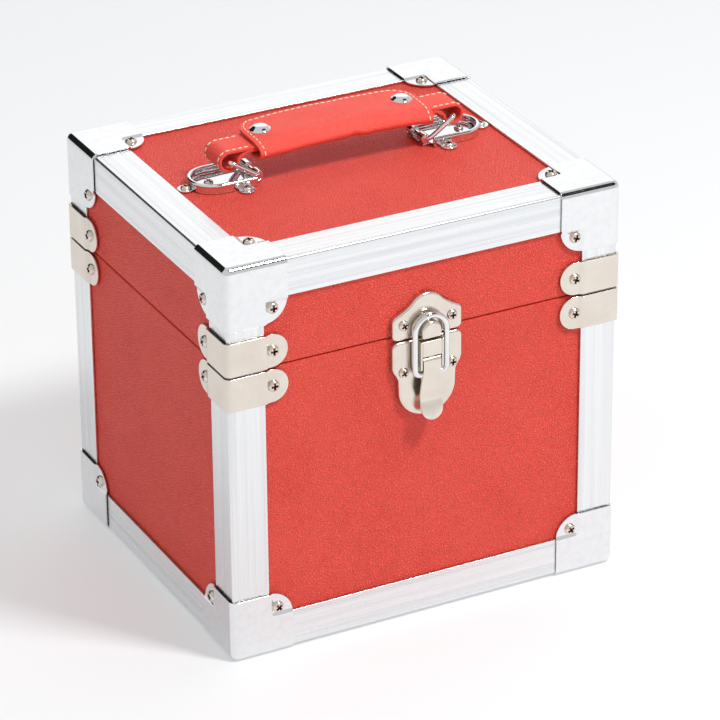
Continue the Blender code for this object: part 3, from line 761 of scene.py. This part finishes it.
def dished_plate(name, outline, lift, rim, place, body):
    """A pressed plate whose rim rolls back to the board."""
    outline = anticlockwise(outline)
    rings = [(0.0, GAP), (0.0, lift - rim)]
    for turn in map(radians, range(15, 91, 15)):
        rings.append((rim * (1 - cos(turn)), lift - rim * (1 - sin(turn))))
    rings += [(rim + 0.5 * MM, lift + 0.05 * MM)]
    bm = bmesh.new()
    rows = []
    for distance, height in rings:
        ring = inset(outline, distance)
        rows.append([bm.verts.new(place @ Vector((x, y, height))) for x, y in ring])
    skin(bm, rows, closed=True)
    bm.faces.new(rows[-1])
    piece = new_piece(name, to_mesh(bm, name, 50.0), body, NICKEL)
    even_shading(piece)
    return piece


def lathe(name, profile, place, steps=40):
    """A round shape about Z from (radius, height) pairs, ending on the axis."""
    bm = bmesh.new()
    rows = []
    turns = [2 * pi * k / steps for k in range(steps)]
    for radius, height in profile[:-1]:
        ring = [Vector((radius * cos(turn), radius * sin(turn), height)) for turn in turns]
        rows.append([bm.verts.new(place @ point) for point in ring])
    tip = bm.verts.new(place @ Vector((0, 0, profile[-1][1])))
    skin(bm, rows, closed=True)
    for k in range(steps):
        bm.faces.new((rows[-1][k], rows[-1][(k + 1) % steps], tip))
    return to_mesh(bm, name, 60.0)


def spaced(points, pitch):
    """Middles and directions at even steps along a path of points."""
    found = []
    travelled = pitch / 2
    for a, b in zip(points, points[1:]):
        step = b - a
        while travelled <= step.length:
            found.append((a + step.normalized() * travelled, step.normalized()))
            travelled += pitch
        travelled -= step.length
    return found


THREAD_RADIUS = 0.36 * MM
STITCH_HALF = 1.25 * MM
STITCH_PITCH = 3.4 * MM


def stitch_mesh():
    bm = bmesh.new()
    bmesh.ops.create_uvsphere(bm, u_segments=10, v_segments=8, radius=1.0)
    for vert in bm.verts:
        x, y, z = vert.co
        vert.co = Vector((x * THREAD_RADIUS, y * THREAD_RADIUS, z * STITCH_HALF))
    return to_mesh(bm, "stitch", 180.0)


STITCH = stitch_mesh()


def add_stitches(name, paths, body):
    spots = []
    for points in paths:
        for middle, direction in spaced([Vector(p) for p in points], STITCH_PITCH):
            spots.append(facing(middle, direction))
    scattered(name, STITCH, spots, body, THREAD)


# ---- latch and hinges

# Its places come from its own parts in the frame, with depths counted out from the front board
FRONT_FACE = Matrix.Translation((0, BOARD_FRONT_Y, 0)) @ Matrix.Rotation(pi / 2, 4, "X")
PLATE_LIFT = 3.3 * MM
PLATE_RIM = 1.3 * MM
STRIKE_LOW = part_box("latch_strike_plate")[0].z
STRIKE_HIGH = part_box("latch_strike_plate")[1].z
STRIKE_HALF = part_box("latch_strike_plate")[1].x
BASE_PLATE_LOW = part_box("latch_base_plate")[0].z
BASE_PLATE_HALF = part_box("latch_base_plate")[1].x
PIN_Z = (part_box("latch_pin")[0].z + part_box("latch_pin")[1].z) / 2
PIN_Y = (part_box("latch_pin")[0].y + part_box("latch_pin")[1].y) / 2
BAIL_LOW, BAIL_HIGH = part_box("latch_bail")
LATCH_FRONT = 8.4 * MM
KEEPER_HALF = 5.4 * MM
KEEPER_RISE = 19.3 * MM
EAR_IN = 5.3 * MM
EAR_SHEET = 1.2 * MM
EAR_BACK = 2.6 * MM
EAR_HIGH = STRIKE_LOW - 0.9 * MM
EAR_LOW = PIN_Z - 5.2 * MM
BRIDGE_LOW = PIN_Z + 3.0 * MM
LEVER_SHEET = 1.1 * MM
CHEEK_IN = 3.9 * MM
CHEEK_SHEET = 0.9 * MM
BAIL_WIRE = 1.6 * MM
BAIL_BEND = 3.0 * MM


def sideways(x, y, z, sign):
    """A place for an outline that stands fore and aft and is filled outwards from x."""
    turn = Matrix(((0, 0, sign, 0), (-1, 0, 0, 0), (0, 1, 0, 0), (0, 0, 0, 1)))
    return Matrix.Translation((x, y, z)) @ turn


def strike_outline():
    dome = 10.5 * MM
    half = arc(0, STRIKE_HIGH - dome, dome, 90, 48, 8)
    half += [(9.2 * MM, STRIKE_HIGH - 5.0 * MM), (11.6 * MM, STRIKE_HIGH - 6.8 * MM)]
    half += [(14.2 * MM, STRIKE_HIGH - 8.4 * MM)]
    half += arc(STRIKE_HALF - 3.5 * MM, STRIKE_LOW + 10.0 * MM, 3.5 * MM, 60, 0, 6)
    half += arc(STRIKE_HALF - 2.7 * MM, STRIKE_LOW + 2.7 * MM, 2.7 * MM, 0, -90, 6)
    return mirrored(half)


def base_plate_outline():
    top = BASE_PLATE_LOW + 42.8 * MM
    half = arc(BASE_PLATE_HALF - 3.5 * MM, top - 3.5 * MM, 3.5 * MM, 90, 0, 6)
    half += [(BASE_PLATE_HALF, top - 14.0 * MM), (BASE_PLATE_HALF - 0.5 * MM, top - 16.2 * MM)]
    half += [(BASE_PLATE_HALF - 1.8 * MM, top - 18.2 * MM)]
    half += [(BASE_PLATE_HALF - 3.2 * MM, top - 20.8 * MM)]
    half += arc(0.8 * MM, BASE_PLATE_LOW + 15.2 * MM, 15.2 * MM, 4, -86, 14)
    return mirrored(half)


def add_plates():
    dished_plate("strike_plate", strike_outline(), PLATE_LIFT, PLATE_RIM, FRONT_FACE, "lid")
    dished_plate("latch_plate", base_plate_outline(), PLATE_LIFT, PLATE_RIM, FRONT_FACE, "base")
    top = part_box("latch_lever")[1].z + KEEPER_RISE
    keeper = arc(0, top - KEEPER_HALF, KEEPER_HALF, 180, 0, 16)
    keeper += [(KEEPER_HALF, STRIKE_LOW + GAP), (-KEEPER_HALF, STRIKE_LOW + GAP)]
    slab("keeper", keeper, PLATE_LIFT - MM, LATCH_FRONT, FRONT_FACE, "lid", NICKEL, 1.1 * MM)
    for side, sign in SIDES.items():
        wall = [(EAR_BACK, EAR_LOW), (7.2 * MM, EAR_LOW), (LATCH_FRONT, EAR_LOW + 1.6 * MM)]
        wall += [(LATCH_FRONT, EAR_HIGH), (EAR_BACK, EAR_HIGH)]
        place = sideways(sign * EAR_IN, BOARD_FRONT_Y, 0, sign)
        slab(f"latch_ear_{side}", wall, 0.0, EAR_SHEET, place, "base", NICKEL, 0.4 * MM)
    bridge = [(-EAR_IN, BRIDGE_LOW), (EAR_IN, BRIDGE_LOW), (EAR_IN, EAR_HIGH), (-EAR_IN, EAR_HIGH)]
    under = LATCH_FRONT - EAR_SHEET
    slab("latch_bridge", bridge, under, LATCH_FRONT, FRONT_FACE, "base", NICKEL, 0.35 * MM)
    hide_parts("latch_strike_plate")
    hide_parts("latch_base_plate")


# The lever's face from its knuckle to its tip: out from the pin, up from the pin, half width
LEVER_FACE = [
    (-1.2, 2.1, 4.9), (0.0, 2.4, 4.9), (1.2, 2.1, 4.9), (2.1, 1.2, 4.9), (2.4, 0.0, 4.9),
    (2.4, -3.5, 4.9), (2.4, -6.6, 5.0), (2.2, -7.3, 5.1), (2.2, -10.5, 5.7), (2.3, -14.0, 6.3),
    (2.2, -16.2, 6.5), (1.6, -18.2, 6.4), (1.0, -19.8, 6.1), (0.9, -21.2, 5.9), (1.3, -23.0, 6.0),
    (2.0, -25.7, 6.1), (2.6, -28.2, 5.6), (3.0, -30.0, 4.4), (3.2, -31.1, 2.9), (3.3, -31.6, 1.6),
]


def add_lever():
    columns = 12
    fine = []
    for (d0, z0, w0), (d1, z1, w1) in zip(LEVER_FACE, LEVER_FACE[1:]):
        fine += [(d0 + (d1 - d0) * t, z0 + (z1 - z0) * t, w0 + (w1 - w0) * t) for t in (0, 0.5)]
    fine.append(LEVER_FACE[-1])
    bm = bmesh.new()
    rows = []
    for out, up, half in fine:
        row = []
        for k in range(columns + 1):
            share = 2 * k / columns - 1
            curl = 0.35 * (1 - share * share) if up < -19 else 0.0
            place = (share * half * MM, PIN_Y - (out + curl) * MM, PIN_Z + up * MM)
            row.append(bm.verts.new(place))
        rows.append(row)
    skin(bm, rows, turned=True)
    bmesh.ops.recalc_face_normals(bm, faces=bm.faces)
    if sum(f.normal.y * f.calc_area() for f in bm.faces) > 0:
        bmesh.ops.reverse_faces(bm, faces=bm.faces)
    piece = new_piece("lever_sheet", smooth_mesh(bm, "lever_sheet"), "latch_lever", NICKEL)
    thicken(piece, LEVER_SHEET)
    soften(piece, 0.3 * MM, 3, 50.0)
    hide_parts("latch_lever")
    for side, sign in SIDES.items():
        cheek = [(-1.0, 1.2), (1.6, 1.2), (2.0, -4.0), (1.8, -9.6), (0.4, -11.2), (-1.6, -10.0)]
        cheek += [(-1.8, -2.0)]
        outline = [(x * MM, y * MM) for x, y in cheek]
        place = sideways(sign * CHEEK_IN, PIN_Y, PIN_Z, sign)
        name = f"lever_cheek_{side}"
        slab(name, outline, 0.0, CHEEK_SHEET, place, "latch_lever", NICKEL, 0.3 * MM)


def add_bail():
    """A round wire loop, hooked over the keeper, whose two ends turn in to the lever."""
    y = (BAIL_LOW.y + BAIL_HIGH.y) / 2
    half = BAIL_HIGH.x - 1.2 * MM
    top = BAIL_HIGH.z - 1.2 * MM - half
    low = BAIL_LOW.z + 1.2 * MM
    right = [(2.0 * MM, low)]
    right += arc(half - BAIL_BEND, low + BAIL_BEND, BAIL_BEND, -90, 0, 8)
    right += arc(0, top, half, 0, 90, 18)
    points = right + [(-x, z) for x, z in reversed(right[:-1])]
    mesh = wire([(x, y, z) for x, z in points], BAIL_WIRE, False, "bail_wire", 18)
    piece = new_piece("bail_wire", mesh, "latch_bail", CHROME)
    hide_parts("latch_bail")


def dress_latch():
    add_plates()
    add_lever()
    add_bail()
    from_node("latch_pin", "latch_rivet", NICKEL, 0.2 * MM)
    spots = {
        "lid": [(-13.5, STRIKE_LOW + 8.2 * MM), (13.5, STRIKE_LOW + 8.2 * MM)],
        "base": [(-13.6, BASE_PLATE_LOW + 26.0 * MM), (13.6, BASE_PLATE_LOW + 26.0 * MM)],
    }
    for body, places in spots.items():
        face_y = BOARD_FRONT_Y - PLATE_LIFT
        heads = [
            facing((x * MM, face_y, z), (0, -1, 0), 0.5 + i) for i, (x, z) in enumerate(places)
        ]
        scattered(body + "_latch_screws", LATCH_SCREW, heads, body, NICKEL)


HINGE_SCREW_UP = 7.0 * MM
HINGE_SCREW_IN = 6.0 * MM
HINGE_FACE = 1.5 * MM


def dress_hinges():
    for side in SIDES:
        for body in ("base", "lid"):
            node = f"hinge_{side}_{body}_leaf"
            from_node(node, f"rear_hinge_{side}_{body}", NICKEL, 0.2 * MM)
            low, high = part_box(node)
            z = high.z - HINGE_SCREW_UP if body == "lid" else low.z + HINGE_SCREW_UP
            xs = [low.x + HINGE_SCREW_IN, (low.x + high.x) / 2, high.x - HINGE_SCREW_IN]
            y = BOARD_BACK_Y + HINGE_FACE
            heads = [facing((x, y, z), (0, 1, 0), 0.9 * i) for i, x in enumerate(xs)]
            name = f"rear_hinge_{side}_{body}_screws"
            scattered(name, SMALL_SCREW, heads, body, NICKEL)


# ---- handle

CUP_LOW, CUP_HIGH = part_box("handle_right_cup")
HANDLE_Y = (CUP_LOW.y + CUP_HIGH.y) / 2
GRIP_MID_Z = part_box("handle_right_strap")[1].z - 1.5 * MM
GRIP_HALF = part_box("handle_grip")[1].x
GRIP_BACK = 19.0 * MM
GRIP_FRONT = 15.2 * MM
GRIP_ARCH = 1.7 * MM
GRIP_CORNER = 13.0 * MM
GRIP_SHEET = 1.4 * MM
PINCH_X = 4.0 * MM
PINCH_WIDTH = 3.0 * MM
EYE_RADIUS = 5.7 * MM
STRAP_HALF = 9.0 * MM
STRAP_SHEET = 1.45 * MM
CUP_WIDE = 13.2 * MM
CUP_END = 81.5 * MM
CUP_TALL = 5.4 * MM
RING_INSET = 1.25 * MM
RING_WIRE = 1.3 * MM
LUG_SHEET = 1.3 * MM
BARREL_X = 47.3 * MM
BARREL_UP = 3.9 * MM
BARREL_RADIUS = 2.5 * MM

# The grip's section from its free top edge round the front fold to its free bottom edge, as
# back from the middle and up from the strap's middle
GRIP_SECTION = [
    (19.0, 2.9), (17.6, 3.05), (15.0, 3.3), (11.0, 3.5), (6.0, 3.6), (0.0, 3.6), (-5.0, 3.6),
    (-9.0, 3.2), (-12.0, 2.1), (-14.2, 0.4), (-15.2, -1.6), (-14.6, -3.4), (-12.8, -4.6),
    (-10.0, -5.0), (-5.0, -4.9), (0.0, -4.4), (6.0, -3.8), (11.0, -2.7), (15.0, -1.3), (19.0, -0.1),
]


def section_point(v):
    """A point of the grip's section, with v from 0 at its top edge to 1 at its bottom edge."""
    place = v * (len(GRIP_SECTION) - 1)
    k = min(int(place), len(GRIP_SECTION) - 2)
    t = place - k
    ends = [GRIP_SECTION[max(k - 1, 0)], *GRIP_SECTION[k : k + 2]]
    ends.append(GRIP_SECTION[min(k + 2, len(GRIP_SECTION) - 1)])
    found = []
    for a, b, c, d in zip(*ends):
        bend, twist = 2 * a - 5 * b + 4 * c - d, 3 * b - a - 3 * c + d
        found.append(0.5 * (2 * b + (c - a) * t + bend * t * t + twist * t**3))
    return found[0] * MM, found[1] * MM


def grip_half_length(y):
    """The grip is shorter towards its back edge, where its corners are rounded, and at its fold."""
    over = max(0.0, y - (GRIP_BACK - GRIP_CORNER))
    back = GRIP_CORNER - (GRIP_CORNER**2 - min(over, GRIP_CORNER) ** 2) ** 0.5
    fold = 0.4 * MM * ease(-y, 9.0 * MM, 6.0 * MM)
    return GRIP_HALF - back - fold


def grip_point(u, v):
    """A point of the sleeve's outside, with u from -1 to 1 along it."""
    y, z = section_point(v)
    x = u * grip_half_length(y)
    share = x / GRIP_HALF
    z += GRIP_ARCH * (1 - share * share)
    z += 0.12 * MM * sin(x * 130.0 + y * 210.0) + 0.07 * MM * sin(x * 310.0 - y * 170.0)
    pinch = exp(-(((x - PINCH_X) / PINCH_WIDTH) ** 2)) * max(0.0, -y / GRIP_FRONT) ** 2
    z += 1.0 * MM * pinch * (1.0 if v > 0.5 else 0.3)
    return Vector((x, HANDLE_Y + y, GRIP_MID_Z + z))


def add_grip():
    along, around = 90, 70
    bm = bmesh.new()
    rows = [
        [bm.verts.new(grip_point(2 * i / along - 1, j / around)) for j in range(around + 1)]
        for i in range(along + 1)
    ]
    skin(bm, rows, turned=True)
    bm.normal_update()
    middle = Vector((0, HANDLE_Y, GRIP_MID_Z))
    if sum((f.calc_center_median() - middle).dot(f.normal) for f in bm.faces) < 0:
        bmesh.ops.reverse_faces(bm, faces=bm.faces)
    piece = new_piece("grip_sleeve", smooth_mesh(bm, "grip_sleeve"), "handle_grip", LEATHER)
    thicken(piece, GRIP_SHEET)
    soften(piece, 0.35 * MM, 3, 50.0)
    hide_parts("handle_grip")
    edge = 0.062
    reach = 0.955
    last = 0.55
    steps = 60
    left = [grip_point(-reach, last + (edge - last) * k / steps) for k in range(steps + 1)]
    back = [grip_point(-reach + 2 * reach * k / steps, edge) for k in range(steps + 1)]
    right = [grip_point(reach, edge + (last - edge) * k / steps) for k in range(steps + 1)]
    raised = [p + Z_AXIS * 0.05 * MM for p in left + back[1:-1] + right]
    add_stitches("grip_stitches", [raised], "handle_grip")
    for side, sign in SIDES.items():
        low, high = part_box(f"handle_{side}_snap")
        x, y = (low.x + high.x) / 2, (low.y + high.y) / 2
        profile = [(5.6, -1.5), (5.6, 0.35), (5.3, 0.75), (4.8, 0.9), (4.5, 1.15), (4.0, 1.6)]
        profile += [(3.2, 2.05), (2.2, 2.35), (1.1, 2.5), (0, 2.55)]
        z = GRIP_MID_Z + 3.4 * MM + GRIP_ARCH * (1 - (x / GRIP_HALF) ** 2)
        place = Matrix.Translation((x, y, z)) @ Matrix.Rotation(sign * 0.05, 4, "Y")
        mesh = lathe("snap_cap", [(r * MM, h * MM) for r, h in profile], place)
        cap = new_piece(f"snap_cap_{side}", mesh, "handle_grip", CHROME)
        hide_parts(f"handle_{side}_snap")


def add_strap(side, sign):
    """A leather end folded round the ring's bar, stitched along both edges."""
    low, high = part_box(f"handle_{side}_strap")
    eye_x = (high.x if sign > 0 else -low.x) - EYE_RADIUS
    eye_z = high.z - EYE_RADIUS
    inner = -25.0 * MM
    columns = 16
    profile = [(inner + k * (0 - inner) / 24, EYE_RADIUS) for k in range(24)]
    profile += arc(0, 0, EYE_RADIUS, 90, -165, 34)
    tail = [(-6.0, 0.2), (-7.6, 1.6), (-9.8, 2.5), (-12.5, 2.75), (-18.0, 2.75)]
    profile += [(x * MM, z * MM) for x, z in tail] + [(inner, 2.75 * MM)]
    bm = bmesh.new()
    rows = []
    for x, z in profile:
        row = []
        for k in range(columns + 1):
            share = 2 * k / columns - 1
            cupped = -0.25 * MM * share * share if z > 3 * MM else 0.0
            place = (sign * (eye_x + x), HANDLE_Y + share * STRAP_HALF, eye_z + z + cupped)
            row.append(bm.verts.new(place))
        rows.append(row)
    skin(bm, rows)
    bm.normal_update()
    top = rows[4][columns // 2].link_faces[0]
    if top.normal.z < 0:
        bmesh.ops.reverse_faces(bm, faces=bm.faces)
    name = f"strap_end_{side}"
    body = f"handle_{side}_strap"
    piece = new_piece(name, smooth_mesh(bm, name), body, LEATHER)
    thicken(piece, STRAP_SHEET)
    soften(piece, 0.35 * MM, 3, 50.0)
    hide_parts(f"handle_{side}_strap")
    shown = [(x, z) for x, z in profile[8:] if x > -12 * MM and (x >= 0 or z >= -1.0 * MM)][:44]
    paths = []
    for across in (-1, 1):
        y = HANDLE_Y + across * (STRAP_HALF - 1.7 * MM)
        paths.append(
            [(sign * (eye_x + x * 1.012), y, eye_z + z * 1.012 - 0.15 * MM) for x, z in shown]
        )
    add_stitches(f"strap_stitches_{side}", paths, body)


def add_ring(side, sign):
    low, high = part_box(f"handle_{side}_ring")
    near = (low.x if sign > 0 else -high.x) + RING_INSET
    far = (high.x if sign > 0 else -low.x) - RING_INSET
    z0 = low.z + RING_INSET
    z1 = high.z - RING_INSET
    half = (high.y - low.y) / 2 - RING_INSET
    length = hypot(far - near, z1 - z0)
    bend = 3.2 * MM
    outline = arc(bend, -half + bend, bend, 180, 270, 8)
    outline += arc(length - bend, -half + bend, bend, 270, 360, 8)
    outline += arc(length - bend, half - bend, bend, 0, 90, 8)
    outline += arc(bend, half - bend, bend, 90, 180, 8)
    points = [
        (sign * (near + x / length * (far - near)), HANDLE_Y + y, z0 + x / length * (z1 - z0))
        for x, y in outline
    ]
    name = f"ring_wire_{side}"
    mesh = wire(points, RING_WIRE, True, name, 18)
    piece = new_piece(name, mesh, f"handle_{side}_ring", CHROME)
    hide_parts(f"handle_{side}_ring")


def add_cup(side, sign):
    """An open-ended dish with a rolled rim, three lugs and a barrel for the ring."""
    place = Matrix.Translation((0, HANDLE_Y, LID_TOP_Z))
    if sign < 0:
        place = place @ Matrix.Rotation(pi, 4, "Z")
    inner = 50.0 * MM
    centre = CUP_END - CUP_WIDE
    outline = [(inner, -CUP_WIDE), ((inner + centre) / 2, -CUP_WIDE)]
    outline += arc(centre, 0, CUP_WIDE, -90, 90, 36)
    outline += [((inner + centre) / 2, CUP_WIDE), (inner, CUP_WIDE)]
    bead = 1.15 * MM
    profile = [(0.35 * MM, GAP), (0.35 * MM, CUP_TALL - 2 * bead)]
    profile += [
        (bead - bead * cos(radians(a)) - 0.1 * MM, CUP_TALL - bead + bead * sin(radians(a)))
        for a in range(-50, 231, 20)
    ]
    profile += [(d * MM, h * MM) for d, h in ((1.9, 2.8), (2.2, 2.0), (2.8, 1.6), (3.8, 1.45))]
    bm = bmesh.new()
    rows = []
    for distance, height in profile:
        row = []
        for x, y in inset(outline, distance, False):
            row.append(bm.verts.new(place @ Vector((max(x, inner), y, height))))
        rows.append(row)
    skin(bm, rows)
    for end in (0, -1):
        bm.faces.new([row[end] for row in rows])
    bm.faces.new(rows[-1])
    name = f"cup_dish_{side}"
    piece = new_piece(name, to_mesh(bm, name, 50.0), "lid", CHROME)
    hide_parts(f"handle_{side}_cup")
    corners = (45.5, -8.9), (50.5, -8.9), (50.5, 8.9), (45.5, 8.9)
    tongue = [(x * MM, y * MM) for x, y in corners]
    slab(f"cup_tongue_{side}", tongue, GAP, 1.5 * MM, place, "lid", CHROME, 0.3 * MM)
    side_y = CUP_WIDE + 2.3 * MM
    spots = [(CUP_END + 2.3 * MM, 0.0), (57.0 * MM, side_y), (57.0 * MM, -side_y)]
    for number, (x, y) in enumerate(spots):
        disc = arc(x, y, 4.2 * MM, 0, 348, 29)
        name = f"cup_lug_{side}_{number}"
        slab(name, disc, GAP, LUG_SHEET, place, "lid", CHROME, 0.35 * MM)
    heads = [
        facing(place @ Vector((x, y, LUG_SHEET)), (0, 0, 1), 0.8 * i)
        for i, (x, y) in enumerate(spots)
    ]
    heads.append(facing(place @ Vector((71.0 * MM, 0, 1.45 * MM)), (0, 0, 1), 0.4))
    scattered(f"cup_screws_{side}", SMALL_SCREW, heads, "lid", NICKEL)
    for number, (start, end) in enumerate([(-8.9, -3.2), (3.2, 8.9)]):
        low = place @ Vector((BARREL_X, start * MM, BARREL_UP))
        high = place @ Vector((BARREL_X, end * MM, BARREL_UP))
        name = f"cup_barrel_{side}_{number}"
        mesh = wire([low, high], BARREL_RADIUS, False, name, 28)
        barrel = new_piece(name, mesh, "lid", CHROME)
        soften(barrel, 0.35 * MM, 3, 60.0)


def dress_handle():
    add_grip()
    for side, sign in SIDES.items():
        add_strap(side, sign)
        add_ring(side, sign)
        add_cup(side, sign)


dress_boards()
dress_trims()
add_lining("base", True)
add_lining("lid", False)
add_corners("base", -1)
add_corners("lid", 1)
for BODY in ("base", "lid"):
    LOW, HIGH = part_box(f"{BODY}_front_left_brace")
    add_braces(BODY, (LOW.z + HIGH.z) / 2)
dress_latch()
dress_hinges()
dress_handle()


# ---- studio


def add_area(name, location, target, size, power):
    light = bpy.data.lights.new(name, "AREA")
    light.size = size
    light.energy = power
    lamp = bpy.data.objects.new(name, light)
    lamp.location = location
    toward = Vector(target) - Vector(location)
    lamp.rotation_euler = toward.to_track_quat("-Z", "Y").to_euler()
    bpy.context.scene.collection.objects.link(lamp)


def add_floor():
    bm = bmesh.new()
    bmesh.ops.create_grid(bm, x_segments=2, y_segments=2, size=6.0)
    floor = bpy.data.objects.new("floor", to_mesh(bm, "floor"))
    bpy.context.scene.collection.objects.link(floor)
    m = Nodes("pale_floor")
    m.set(Base_Color=(0.60, 0.61, 0.62, 1.0), Roughness=0.75, Specular_IOR_Level=0.2)
    m.set(Emission_Color=(1.0, 1.0, 1.0, 1.0), Emission_Strength=0.33)
    floor.data.materials.append(m.material)


def patch(tree, direction, middle, width, level):
    """A soft patch of the surround about one direction, as a factor to multiply by."""
    place = tree.nodes.new("ShaderNodeTexCoord")
    along = tree.nodes.new("ShaderNodeVectorMath")
    along.operation = "DOT_PRODUCT"
    tree.links.new(place.outputs["Generated"], along.inputs[0])
    along.inputs[1].default_value = Vector(direction).normalized()
    fall = tree.nodes.new("ShaderNodeMapRange")
    fall.interpolation_type = "SMOOTHSTEP"
    tree.links.new(along.outputs["Value"], fall.inputs["Value"])
    fall.inputs["From Min"].default_value = middle - width
    fall.inputs["From Max"].default_value = middle + width
    fall.inputs["To Min"].default_value = 1.0
    fall.inputs["To Max"].default_value = level
    return fall.outputs["Result"]


# Parts of the surround: a direction, the cosine at the edge, its softness and the level inside.
# The first two are dark cards, which draw dark lines along the chrome's edges, and the last is a
# bright one behind, for the metal of the top.
CARDS = [
    ((-0.45, 0.80, 0.40), 0.88, 0.015, 0.02),
    ((0.40, -0.45, 0.80), 0.92, 0.012, 0.02),
    ((0.40, 0.80, 0.46), 0.90, 0.05, 1.75),
]
SURROUND = 0.70


def set_world():
    world = bpy.data.worlds.new("studio")
    bpy.context.scene.world = world
    world.use_nodes = True
    tree = world.node_tree
    background = tree.nodes["Background"]
    background.inputs["Color"].default_value = (1.0, 1.0, 1.0, 1.0)
    strength = None
    for card in CARDS:
        product = tree.nodes.new("ShaderNodeMath")
        product.operation = "MULTIPLY"
        tree.links.new(patch(tree, *card), product.inputs[0])
        product.inputs[1].default_value = SURROUND
        if strength:
            tree.links.new(strength, product.inputs[1])
        strength = product.outputs["Value"]
    tree.links.new(strength, background.inputs["Strength"])


def add_camera():
    """A long lens from the front left and above, at the photograph's viewing angle."""
    azimuth, elevation, roll = radians(-26.8955), radians(26.6545), radians(-0.604)
    distance = 2.0913
    target = Vector((0, MID_Y, (BOTTOM_Z + TOP_Z) / 2))
    back = Vector(
        (sin(azimuth) * cos(elevation), -cos(azimuth) * cos(elevation), sin(elevation))
    )
    data = bpy.data.cameras.new("camera")
    data.lens = 202.32
    data.sensor_width = 36.0
    data.shift_x = 0.02656
    data.shift_y = -0.01626
    camera = bpy.data.objects.new("camera", data)
    camera.location = target + back * distance
    turn = (-back).to_track_quat("-Z", "Y").to_matrix().to_4x4() @ Matrix.Rotation(roll, 4, "Z")
    camera.rotation_euler = turn.to_euler()
    bpy.context.scene.collection.objects.link(camera)
    bpy.context.scene.camera = camera


add_floor()
set_world()
add_area("key", (0.62, -0.92, 1.75), (0, 0, 0.15), 0.34, 27)
bpy.context.scene.view_settings.view_transform = "Standard"
add_camera()
